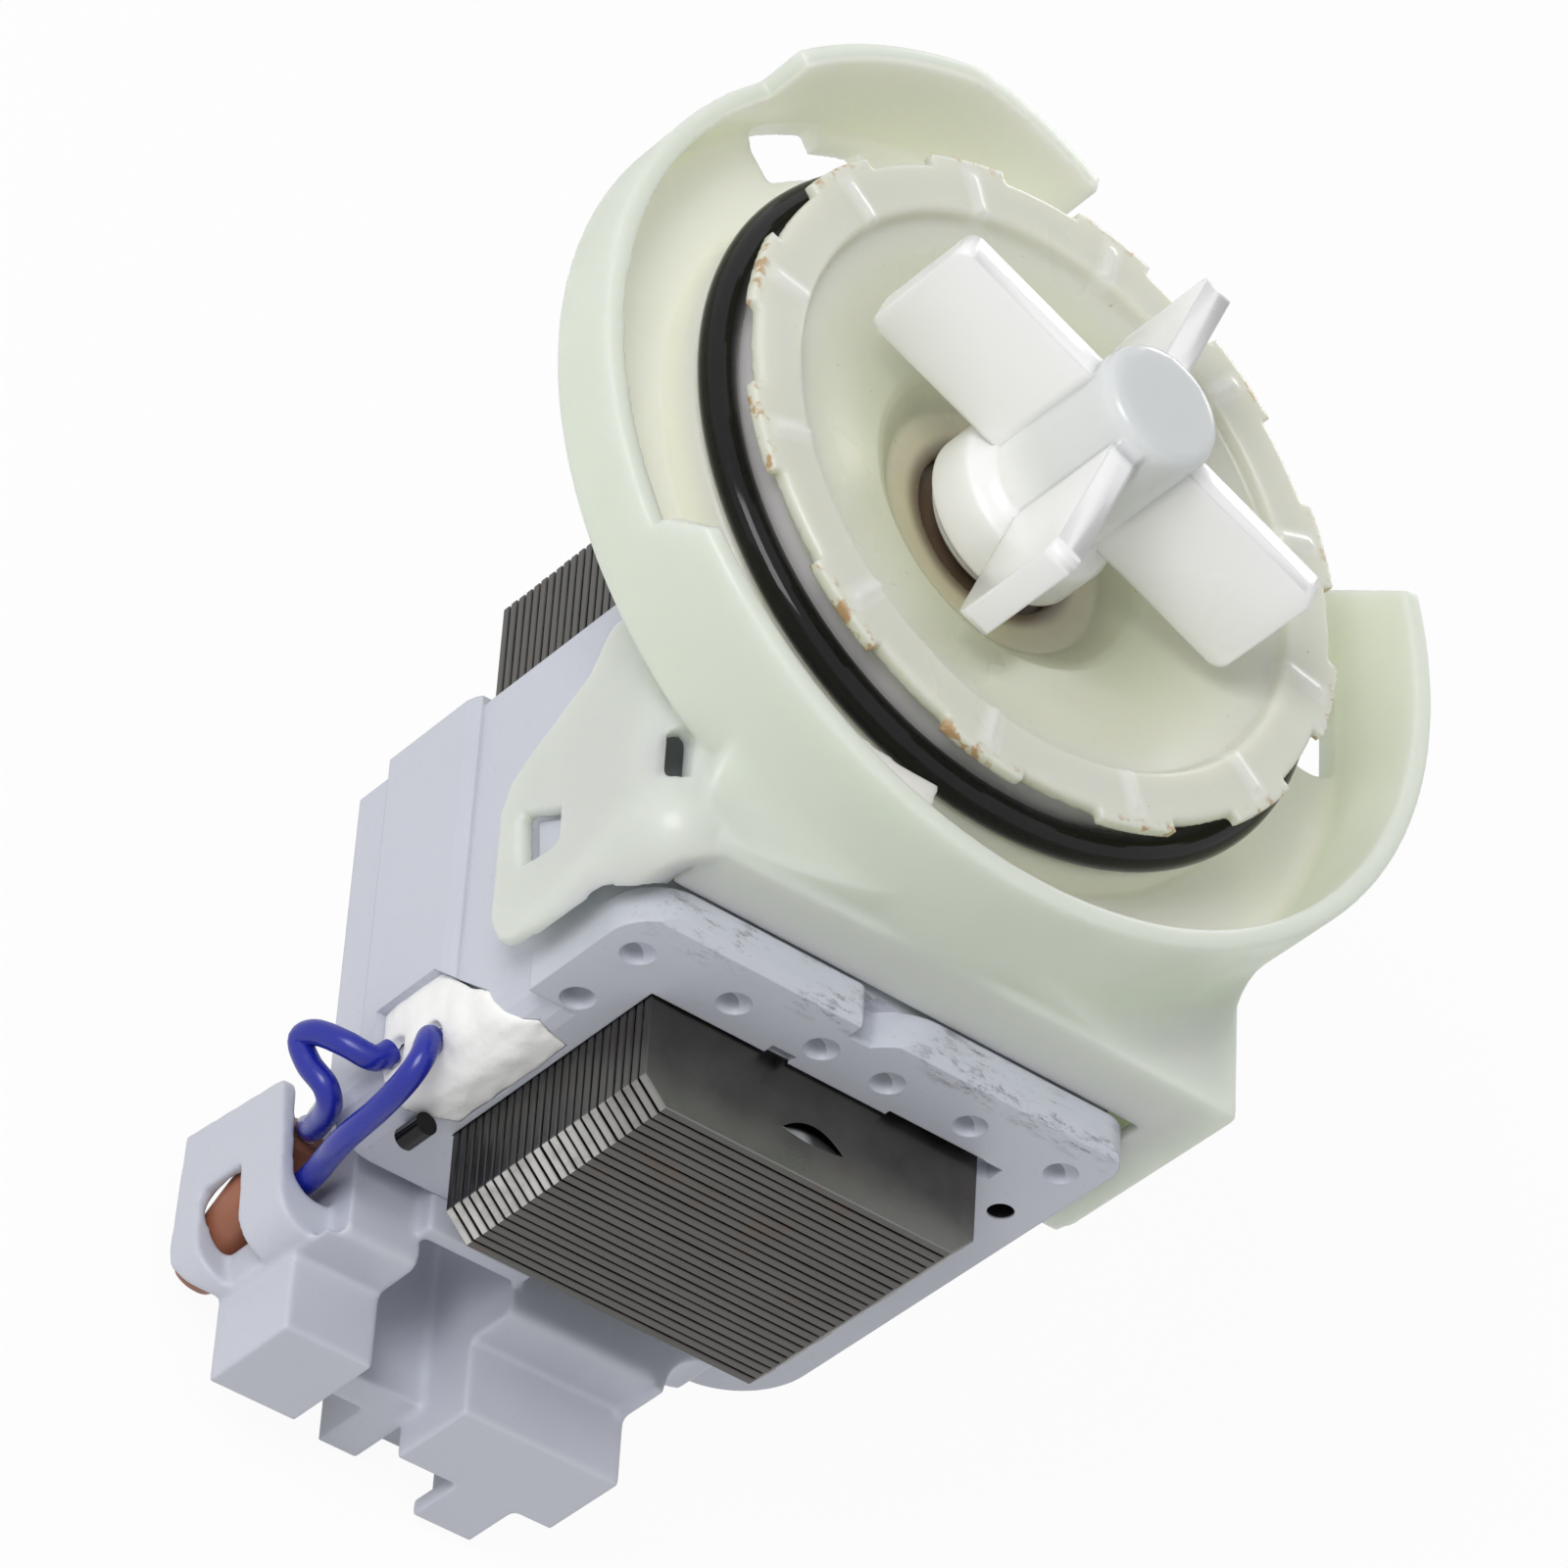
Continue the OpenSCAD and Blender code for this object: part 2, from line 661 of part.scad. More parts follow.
module skirt() {
    inner_corner = 4;
    difference() {
        intersection() {
            difference() {
                skirt_form(0);
                skirt_form(skirt_t);
            }
            union() {
                side(-foot_left - 1, -foot_left + skirt_t)
                    foot_profile(left_low, 3.6, 0.7);
                side(foot_right - skirt_t, foot_right + 1)
                    foot_profile(skirt_bottom, 2.1, 0);
                translate([0, 0, skirt_back])
                    linear_extrude(10)
                        skirt_outline(skirt_bottom);
                intersection() {
                    translate([0, 0, skirt_back - inner_corner])
                        linear_extrude(inner_corner + 1)
                            skirt_outline(skirt_bottom);
                    plan(left_low - 1, skirt_bottom + 2)
                        difference() {
                            translate([-foot_left - 1, skirt_back - inner_corner])
                                square(inner_corner + skirt_t + 1);
                            translate([inner_corner + skirt_t - foot_left, skirt_back - inner_corner])
                                circle(inner_corner);
                        }
                }
            }
        }
        side(-foot_left - 1, -foot_left + 3)
            polygon([[-29.5, -24.7], [-31.9, -19.5], [-35.3, -19.3], [-35, -24]]);
        translate([-24.9, 0, skirt_front - 4])
            linear_extrude(6) {
                translate([-0.9, -35])
                    square([1.8, 3.6]);
                translate([0, -31.4])
                    circle(0.9);
            }
    }
    intersection() {
        side(-foot_left + 6, foot_right - 0.4)
            polygon([[skirt_bottom + skirt_t, skirt_front - 0.8], [skirt_bottom + 1.2, skirt_front],
                [skirt_bottom + 0.4, skirt_front - 0.4], [skirt_bottom, skirt_front - 1.2],
                [skirt_bottom, -foot_rear], [skirt_bottom + skirt_t, -foot_rear]]);
        union() {
            slab([-foot_left, foot_right], [skirt_bottom - 1, 0], [skirt_back, 0]);
            slab([housing_right + 0.4, foot_right], [skirt_bottom - 1, 0], [-foot_rear, 0]);
        }
    }
}

// Hollow fillet between the cup wall and the front of the skirt
module cup_cove() {
    r = 4;
    steps = 6;
    arc = [for (i = [0:steps]) let (a = 90 * i / steps)
        [cup_r + r - r * sin(a), skirt_front + r - r * cos(a)]];
    intersection() {
        rotate_extrude()
            polygon(concat([[cup_r - 0.6, skirt_front - 0.5], [cup_r + r, skirt_front - 0.5]], arc,
                [[cup_r - 0.6, skirt_front + r]]));
        translate([0, 0, skirt_front - 1])
            linear_extrude(8)
                polygon([[-foot_left + 4, skirt_bottom - 1], [-foot_left + 4, -28],
                    [foot_right - 1.2, -24], [foot_right - 1.2, skirt_bottom + 0.6],
                    [-foot_left + 8, skirt_bottom + 0.6]]);
    }
}

module front_bracket() {
    color("honeydew") {
        cup();
        cup_cove();
        rotor_can();
        skirt();
    }
}

module lamination_shape(inset) {
    half = core_half - inset;
    low = core_bottom + inset;
    chamfer = yoke_chamfer;
    difference() {
        polygon([[-half, pole_rise], [-half, low + chamfer], [-half + chamfer, low],
            [half - chamfer, low], [half, low + chamfer], [half, pole_rise]]);
        translate([-leg_gap / 2, yoke_top])
            square([leg_gap, pole_rise - yoke_top + 1]);
        circle(pole_bore_r);
    }
}

module stator_core() {
    color("dimgray") {
        for (k = [0:lam_count - 1])
            translate([0, 0, core_back + k * lam_pitch])
                linear_extrude(lam_pitch - lam_groove)
                    lamination_shape(0);
        translate([0, 0, core_back])
            linear_extrude(core_h - lam_groove)
                lamination_shape(groove_depth);
    }
}

module leg_hole(grow, y0, y1) {
    for (s = [-1, 1])
        slab([s * leg_mid - leg_w / 2 - grow, s * leg_mid + leg_w / 2 + grow], [y0, y1],
            [core_back - grow, core_front + grow]);
}

// Half plan of the space that one coil fills
module coil_space(s, grow) {
    slab([s * leg_mid - tube_x - flange_over - grow, s * leg_mid + tube_x + flange_over + grow],
        [bobbin_y0 - grow, bobbin_y1 + grow],
        [core_mid_z - tube_z - flange_over - grow, core_mid_z + tube_z + flange_over + grow]);
}

module housing_plan() {
    rear = -housing_rear;
    round_rect([-housing_left, rear], [housing_right, -housing_front], front_corner_r);
    translate([-housing_left, rear])
        square([10, 10]);
    round_rect([bulge_x, -bulge_rear], [housing_right, rear + 18], bulge_corner_r);
    translate([bulge_x, -bulge_rear])
        square([bulge_corner_r, bulge_corner_r]);
}

module housing_strip() {
    plan(face_y, face_y + strip_h)
        union() {
            round_rect([-housing_left, strip_front - 12], [core_half, strip_front], front_corner_r);
            round_rect([-core_half, strip_front - 12], [housing_right, strip_front], strip_end_r);
        }
}

// Gap in the strip, square on its left and swept out on its right: (x, z)
module strip_notch() {
    x0 = -1.8;
    x1 = 4.9;
    depth = 2.4;
    sweep_r = 5.6;
    corner = 1;
    plan(face_y - 1, face_y + strip_h)
        difference() {
            translate([x0 - corner, strip_front - depth])
                square([x1 - x0 + corner, depth + 1]);
            translate([x1, strip_front - sweep_r])
                circle(sweep_r);
            translate([x0 - 2 * corner, strip_front - depth - 1])
                square([2 * corner, depth]);
            translate([x0 - corner, strip_front - corner])
                circle(corner, $fn = 32);
        }
}

// Small openings in the housing where the core's front edge comes out
module edge_pockets() {
    slab([-5.3, -3], [face_y - 1, face_y + 1.2], [core_front - 0.1, core_front + 1.1]);
    slab([6.6, core_half + 0.1], [face_y - 1, face_y + 2.5], [core_front - 0.1, core_front + 0.6]);
    slab([core_half - 0.1, core_half + 1.9], [face_y - 1, face_y + 1.5],
        [core_front - 1.3, core_front + 0.5]);
}

// Rounded lower left edge of the housing, moved out by d: (x, y)
function edge_line(d) = [for (a = [0:15:90])
    [edge_r - housing_left - (edge_r + d) * cos(a), face_y + edge_r - (edge_r + d) * sin(a)]];

module rounded_edge_cut() {
    far = [-housing_left - 3, face_y - 3];
    translate([0, 0, -bulge_rear])
        linear_extrude(bulge_rear - edge_front)
            polygon(concat([[-housing_left - 3, face_y + edge_r], far, [edge_r - housing_left, far[1]]],
                [for (i = [6:-1:0]) edge_line(0)[i]]));
}

// Layer of sealant over the rounded edge, from depth inside to height outside
module sealant_layer(depth, height) {
    inner = edge_line(-depth);
    outer = edge_line(height);
    intersection() {
        translate([0, 0, -46.4])
            linear_extrude(18)
                polygon(concat([[inner[0][0], sealant_top]], inner, [[sealant_x, face_y + depth],
                    [sealant_x, face_y - height]], [for (i = [6:-1:0]) outer[i]],
                    [[outer[0][0], sealant_top]]));
        plan(-50, sealant_top + 1)
            translate([sealant_x, 0])
                polygon([[-10, -46.2], [-10, -32], [-6, -32.4], [-4.7, -31.4], [-3.4, -29.4],
                    [-1, -30.1], [1, -30.6], [1, -43.6], [-1.9, -44.8], [-3.8, -46]]);
        side(-26, -15)
            polygon([[sealant_top, -38.6], [-38.9, -34], [-40.3, -32.2], [-43, -28.6], [-50, -28.6],
                [-50, -46.4], [sealant_top, -46.4]]);
    }
}

module coil_housing() {
    color("lightsteelblue")
        difference() {
            union() {
                plan(face_y, top_y)
                    housing_plan();
                housing_strip();
                plan(face_y + 4, top_y + 0.8)
                    polygon([[-housing_left + 2, panel_z1], [-housing_left - panel_out, panel_z1],
                        [-housing_left - panel_out, panel_z0 - 1.4],
                        [-housing_left - 0.7 * panel_out, panel_z0 - 0.5],
                        [-housing_left - 0.3 * panel_out, panel_z0], [-housing_left + 2, panel_z0]]);
                side(-housing_left - 2.2, -housing_left + 1)
                    polygon([[-29.8, -24.2], [-31.9, -20], [-35, -19.8], [-34.7, -23.6]]);
                side(housing_right - 1, foot_right - skirt_t - 0.3)
                    polygon([[-30, -24], [-30, -20], [-34.6, -20], [-34.6, -24]]);
            }
            leg_hole(bobbin_fit / 3, yoke_top - 1, top_y + 1);
            slab([-core_half - 0.05, core_half + 0.05], [face_y - 1, yoke_top + 0.05],
                [core_back - 0.05, core_front + 0.05]);
            for (s = [-1, 1])
                coil_space(s, 0.1);
            disc(can_r + 0.4, -bulge_rear - 1, 0);
            for (x = dimple_x)
                translate([x, face_y - dimple_ball_r + dimple_depth, -housing_front - dimple_inset])
                    sphere(dimple_ball_r, $fn = 32);
            translate([-19.9, face_y - dimple_ball_r + dimple_depth, -25])
                sphere(dimple_ball_r, $fn = 32);
            translate([21.5, face_y + 5, -24.6])
                rotate([90, 0, 0])
                    cylinder(r = 1.1, h = 6, $fn = 32);
            strip_notch();
            edge_pockets();
            side(-housing_left - 1, housing_right + 1)
                polygon([[face_y - 0.1, strip_front - strip_bevel],
                    [face_y + strip_bevel, strip_front + 0.1], [face_y - 0.1, strip_front + 0.1]]);
            rounded_edge_cut();
            sealant_layer(sealant_t, 2);
        }
}

module bobbin(s) {
    inner_x = leg_w / 2 + bobbin_fit;
    inner_z = core_h / 2 + bobbin_fit;
    color("whitesmoke")
        difference() {
            union() {
                slab([s * leg_mid - tube_x, s * leg_mid + tube_x], [bobbin_y0, bobbin_y1],
                    [core_mid_z - tube_z, core_mid_z + tube_z]);
                for (y = [bobbin_y0, bobbin_y1 - bobbin_wall])
                    slab([s * leg_mid - tube_x - flange_over, s * leg_mid + tube_x + flange_over],
                        [y, y + bobbin_wall],
                        [core_mid_z - tube_z - flange_over, core_mid_z + tube_z + flange_over]);
            }
            slab([s * leg_mid - inner_x, s * leg_mid + inner_x], [bobbin_y0 - 1, bobbin_y1 + 1],
                [core_mid_z - inner_z, core_mid_z + inner_z]);
        }
}

module bobbin_left() {
    bobbin(-1);
}

module bobbin_right() {
    bobbin(1);
}

module winding(s) {
    low = bobbin_y0 + bobbin_wall + face_fit;
    high = bobbin_y1 - bobbin_wall - face_fit;
    in_x = tube_x + face_fit;
    in_z = tube_z + face_fit;
    color("chocolate")
        difference() {
            plan(low, high)
                round_rect([s * leg_mid - tube_x - winding_build, core_mid_z - tube_z - winding_build],
                    [s * leg_mid + tube_x + winding_build, core_mid_z + tube_z + winding_build], 2);
            slab([s * leg_mid - in_x, s * leg_mid + in_x], [low - 1, high + 1],
                [core_mid_z - in_z, core_mid_z + in_z]);
        }
}

module winding_left() {
    winding(-1);
}

module winding_right() {
    winding(1);
}

module socket_cut(x_mid) {
    slab([x_mid - socket_w / 2, x_mid + socket_w / 2], [socket_y - socket_h / 2, socket_y + socket_h / 2],
        [block_back - 6, block_front - socket_floor]);
    slab([x_mid - tab_w / 2 - 0.03, x_mid + tab_w / 2 + 0.03],
        [socket_y - tab_t / 2 - 0.03, socket_y + tab_t / 2 + 0.03],
        [block_front - socket_floor - 1, block_front - 0.4]);
}

tab_line_x = (block1_x[0] + block1_x[1]) / 2;
tab_pair_x = (block2_x[0] + block2_x[1]) / 2;
tab_pair_step = 7.4;

// Hook-shaped channel that holds the thermal protector, open at the top
module clamp() {
    hook_r = 4;
    inner_r = 2.4;
    low = -49;
    inner_low = -45.4;
    end_x = block1_x[0] + 2;
    plate = [[-34.8, -58.6], [-33.5, -72.1], [-44.3, -72.6], [-46, -72.2], [-47.6, -71], [-49.2, -69],
        [-49.2, -57.6], [-44.9, -57.4]];
    window = [[-40.4, -69.1], [-40.5, -63.5], [-44.9, -63.1], [-50, -63.1], [-50, -67.4],
        [-46.4, -68.4], [-44.2, -68.8]];
    difference() {
        intersection() {
            translate([0, 0, -74])
                linear_extrude(18)
                    difference() {
                        hook_plan(clamp_x0, low, hook_r, end_x);
                        hook_plan(clamp_x0 + clamp_t, inner_low, inner_r, end_x + 1);
                    }
            side(clamp_x0 - 1, end_x)
                polygon(plate);
        }
        side(clamp_x0 - 1, block1_x[0] - 0.6)
            polygon(window);
    }
}

// Tall rectangle with its lower left corner rounded: (x, y)
module hook_plan(x0, y0, r, x1) {
    translate([x0 + r, y0 + r])
        circle(r);
    translate([x0, y0 + r])
        square([x1 - x0, -y0]);
    translate([x0 + r, y0])
        square([x1 - x0 - r, -y0]);
}

// Profile of a terminal block (y, z): a lower box with a shelf that stands forward over it
module block_profile(back_z) {
    polygon([[block_y, block_front], [block_y, back_z], [-44.6, back_z], [-44.6, block_front],
        [-44.6, shelf_z], [shelf_y + 0.9, shelf_z], [shelf_y + 0.2, shelf_z - 0.3],
        [shelf_y, shelf_z - 1], [shelf_y - 0.1, block_front]]);
}

// Web that carries a terminal block on the rear wall of the housing
module rear_web(x0, x1, low_y) {
    side(x0, x1)
        polygon([[low_y, shelf_z], [face_y, shelf_z], [face_y, -housing_rear - face_fit],
            [-30, -housing_rear - face_fit], [-30, -57], [-38, block_back], [low_y, block_back]]);
}

module protector_place() {
    translate(protector_at)
        rotate([180 - protector_tilt, 0, 0])
            children();
}

module terminal_carrier() {
    upper_x = [-18.8, -12];
    fillet_r = 5;
    color("lightsteelblue")
        difference() {
            union() {
                intersection() {
                    side(block1_x[0], block1_x[1])
                        block_profile(block_back);
                    union() {
                        slab(block1_x, [block_y, shelf_y + 0.3], [block_back, shelf_z]);
                        slab(upper_x, [block_y, -40], [block_back, shelf_z]);
                    }
                }
                side(upper_x[0], upper_x[1])
                    polygon([[-46, shelf_z], [-39.4, shelf_z], [-39.4, -housing_rear - face_fit],
                        [-30, -housing_rear - face_fit], [-30, -57], [-38, block_back], [-46, block_back]]);
                side(block2_x[0], block2_x[1])
                    block_profile(block_front - 9.1);
                intersection() {
                    rear_web(block2_x[0], bulge_x - face_fit, -45.6);
                    slab([block2_x[0], block2_x[1]], [-46, -29], [block_back, 0]);
                }
                difference() {
                    slab([block2_x[1] - 1, block2_x[1] + fillet_r],
                        [face_y - face_fit - 1.4 - fillet_r, face_y - face_fit], [block_front, shelf_z]);
                    translate([block2_x[1] + fillet_r, face_y - face_fit - 1.4 - fillet_r, block_front - 1])
                        cylinder(r = fillet_r, h = 10);
                }
                slab([upper_x[1] - 2, block2_x[0] + 1], [-52.7, -36], [-69.6, -66]);
                slab([upper_x[1] - 0.5, block2_x[0] + 0.5], [-46.5, -36],
                    [shelf_z, -housing_rear - face_fit]);
                slab([-6.2, 3.3], [-52.7, -44], [-75.6, -66]);
                slab([3, 8.8], [block_y, block_y + 5], [-75, -66]);
                clamp();
            }
            protector_place()
                translate([0, 0, -1])
                    cylinder(r = protector_r + 0.3, h = protector_len + 2);
            socket_cut(tab_line_x);
            socket_cut(tab_pair_x - tab_pair_step / 2);
            socket_cut(tab_pair_x + tab_pair_step / 2);
        }
}

module spade(x_mid) {
    front = block_front - 0.5;
    back = block_back + 0.8;
    color("silver")
        translate([x_mid, socket_y + tab_t / 2, 0])
            rotate([90, 0, 0])
                linear_extrude(tab_t)
                    polygon([[-tab_w / 2, front], [tab_w / 2, front], [tab_w / 2, back + 1.2],
                        [tab_w / 2 - 1, back], [-tab_w / 2 + 1, back], [-tab_w / 2, back + 1.2]]);
}

module tab_line() {
    spade(tab_line_x);
}

module tab_neutral() {
    spade(tab_pair_x - tab_pair_step / 2);
}

module tab_earth() {
    spade(tab_pair_x + tab_pair_step / 2);
}

// Room for the end of a lead that is set into another piece
module lead_seat(end) {
    translate(end)
        sphere(lead_d / 2 + 0.25, $fn = 32);
}

module thermal_protector() {
    color("sienna")
        difference() {
            protector_place()
                rotate_extrude($fn = 48)
                    polygon([[0, 0], [protector_r - 0.5, 0], [protector_r, 0.6],
                        [protector_r, protector_len - 1.2], [protector_r - 0.7, protector_len - 0.3],
                        [protector_r - 1.4, protector_len], [0, protector_len]]);
            lead_seat(lead_in_route[len(lead_in_route) - 1]);
        }
}

module lead_in() {
    color("mediumblue")
        tube(lead_in_route, lead_d);
}

module lead_out() {
    color("mediumblue")
        tube(lead_out_route, lead_d);
}

module wire_sleeve() {
    color("black")
        translate([-19.5, face_y - sleeve_r - 0.25, -44.4])
            rotate([180, 0, 0])
                cylinder(r = sleeve_r, h = sleeve_len, $fn = 32);
}

module potting() {
    color("white")
        difference() {
            sealant_layer(sealant_t - face_fit, 0.15);
            lead_seat(lead_in_route[0]);
            lead_seat(lead_out_route[0]);
            coil_space(-1, face_fit);
        }
}

impeller();
impeller_cap();
drive_dog();
drive_buffer();
chamber_cover();
seal_o_ring();
lip_seal();
front_bracket();
front_grommet();
front_bearing();
rear_grommet();
rear_bearing();
thrust_washer_front();
thrust_washer_rear();
rotor_shaft();
magnet_carrier();
rotor_magnet();
stator_core();
coil_housing();
bobbin_left();
bobbin_right();
winding_left();
winding_right();
terminal_carrier();
tab_line();
tab_neutral();
tab_earth();
thermal_protector();
lead_in();
lead_out();
wire_sleeve();
potting();
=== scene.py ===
"""Drain pump of a dishwasher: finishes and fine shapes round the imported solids."""
import json
import math

import bmesh
import bpy
from mathutils import Matrix, Vector


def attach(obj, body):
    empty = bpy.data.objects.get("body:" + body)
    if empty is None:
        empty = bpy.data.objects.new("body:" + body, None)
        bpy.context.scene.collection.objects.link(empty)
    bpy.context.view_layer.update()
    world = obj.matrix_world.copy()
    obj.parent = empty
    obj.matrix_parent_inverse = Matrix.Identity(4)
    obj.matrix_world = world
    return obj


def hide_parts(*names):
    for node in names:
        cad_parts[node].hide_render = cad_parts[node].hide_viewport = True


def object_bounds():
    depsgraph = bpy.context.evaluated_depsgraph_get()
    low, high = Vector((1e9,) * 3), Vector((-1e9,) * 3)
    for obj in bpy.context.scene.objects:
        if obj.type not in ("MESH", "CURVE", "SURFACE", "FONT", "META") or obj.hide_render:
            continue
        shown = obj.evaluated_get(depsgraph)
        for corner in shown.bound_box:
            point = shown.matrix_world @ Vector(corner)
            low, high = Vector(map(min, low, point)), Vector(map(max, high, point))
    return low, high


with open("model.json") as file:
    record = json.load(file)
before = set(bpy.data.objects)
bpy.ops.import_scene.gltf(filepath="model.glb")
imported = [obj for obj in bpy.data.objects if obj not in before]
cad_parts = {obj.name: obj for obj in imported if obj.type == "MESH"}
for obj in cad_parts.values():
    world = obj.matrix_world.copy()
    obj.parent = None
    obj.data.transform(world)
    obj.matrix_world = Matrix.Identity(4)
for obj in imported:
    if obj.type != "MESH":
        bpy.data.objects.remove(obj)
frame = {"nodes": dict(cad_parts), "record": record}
cad_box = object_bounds()
MM = 0.001
nodes = frame["nodes"]
bpy.context.scene.view_settings.view_transform = "Standard"

# Sizes of the pump that both the finishes and the shapes use, in mm and degrees
SHEETS, SHEET_PITCH, SHEET_THICK, SHEET_SLIP = 25, 1.0, 0.82, 0.03
CORE_BACK = -45.75
CORE_FRONT = CORE_BACK + (SHEETS - 1) * SHEET_PITCH + SHEET_THICK
HALF_W, LEG_END, CORE_LOW = 16.1, 9.4, -52.7
CHAMFER, GAP_HALF, YOKE_TOP, BORE_R = 2.15, 6.0, -42.7, 12.2
CLINCH_HALF, CLINCH_LOW, CLINCH_BOW, CLINCH_RISE, CLINCH_DEEP = 3.0, -49.0, 0.35, 1.75, 0.55
TEETH, TOOTH_TURN = 12, -160.6
PIT_R = 1.4
PITS = [(x, -19.1) for x in (-20, -10.8, -2.3, 4.2, 12.4, 21.6)] + [(-19.9, -25)]
HOLE, HOLE_R = (21.5, -24.6), 1.25
LEAD_R = 1.05


# ---- camera, lamps, floor ----

LENS_MM, SENSOR_MM = 173.25, 36
CAMERA_RIGHT = (0.77667, 0.05132, 0.62782)
CAMERA_UP = (-0.41936, 0.78570, 0.45456)
CAMERA_BACK = (-0.46995, -0.61632, 0.63191)
CAMERA_SPOT = (-0.28169, -0.38011, 0.35119)
ROOM_LIGHT, WHITE = 0.52, 1.0
FLOOR_DROP, FLOOR_REACH = 0.4 * MM, 3.0
FLOOR_WHITE = 0.94


def place_camera():
    data = bpy.data.cameras.new("camera")
    data.sensor_width = SENSOR_MM
    data.lens = LENS_MM
    data.clip_start = 0.01
    data.clip_end = 20
    camera = bpy.data.objects.new("camera", data)
    bpy.context.scene.collection.objects.link(camera)
    columns = (CAMERA_RIGHT, CAMERA_UP, CAMERA_BACK, CAMERA_SPOT)
    camera.matrix_world = Matrix([[column[i] for column in columns] for i in range(3)] + [[0, 0, 0, 1]])
    bpy.context.scene.camera = camera


def add_softbox(name, spot, aim, size, power):
    data = bpy.data.lights.new(name, "AREA")
    data.shape = "RECTANGLE"
    data.size, data.size_y = size
    data.energy = power
    lamp = bpy.data.objects.new(name, data)
    lamp.location = spot
    lamp.rotation_mode = "QUATERNION"
    lamp.rotation_quaternion = (Vector(aim) - Vector(spot)).to_track_quat("-Z", "Y")
    bpy.context.scene.collection.objects.link(lamp)


def seen_directly(tree):
    """1 where a camera, mirror or glass ray looks, 0 for the soft light that falls on the pump."""
    path = tree.nodes.new("ShaderNodeLightPath")
    seen = path.outputs["Is Camera Ray"]
    for kind in ("Is Glossy Ray", "Is Transmission Ray"):
        either = tree.nodes.new("ShaderNodeMath")
        either.operation = "MAXIMUM"
        tree.links.new(seen, either.inputs[0])
        tree.links.new(path.outputs[kind], either.inputs[1])
        seen = either.outputs[0]
    return seen


def light_the_room():
    world = bpy.data.worlds.new("room")
    bpy.context.scene.world = world
    world.use_nodes = True
    tree = world.node_tree
    strength = tree.nodes.new("ShaderNodeMapRange")
    tree.links.new(seen_directly(tree), strength.inputs["Value"])
    strength.inputs["To Min"].default_value = ROOM_LIGHT
    strength.inputs["To Max"].default_value = WHITE
    background = tree.nodes["Background"]
    background.inputs["Color"].default_value = (1, 1, 1, 1)
    tree.links.new(strength.outputs[0], background.inputs["Strength"])


def lay_floor():
    """Pale paper under the pump: it takes the shadow, and looks nearly white to the camera."""
    low = cad_box[0][2] - FLOOR_DROP
    far = FLOOR_REACH
    mesh = bpy.data.meshes.new("floor")
    mesh.from_pydata([(-far, -far, low), (far, -far, low), (far, far, low), (-far, far, low)],
                     [], [(0, 1, 2, 3)])
    floor = bpy.data.objects.new("floor", mesh)
    bpy.context.scene.collection.objects.link(floor)
    material = bpy.data.materials.new("floor paper")
    material.use_nodes = True
    tree = material.node_tree
    paper = tree.nodes["Principled BSDF"]
    paper.inputs["Base Color"].default_value = (0.86, 0.86, 0.86, 1)
    paper.inputs["Roughness"].default_value = 0.9
    glow = tree.nodes.new("ShaderNodeEmission")
    glow.inputs["Strength"].default_value = WHITE
    share = tree.nodes.new("ShaderNodeMath")
    share.operation = "MULTIPLY"
    share.inputs[1].default_value = FLOOR_WHITE
    tree.links.new(seen_directly(tree), share.inputs[0])
    mix = tree.nodes.new("ShaderNodeMixShader")
    tree.links.new(share.outputs[0], mix.inputs["Fac"])
    tree.links.new(paper.outputs[0], mix.inputs[1])
    tree.links.new(glow.outputs[0], mix.inputs[2])
    tree.links.new(mix.outputs[0], tree.nodes["Material Output"].inputs["Surface"])
    mesh.materials.append(material)


# ---- finishes ----

# Places of the two colours and of the result among a colour mix node's sockets
MIX_FIRST, MIX_SECOND, MIX_RESULT = 6, 7, 2


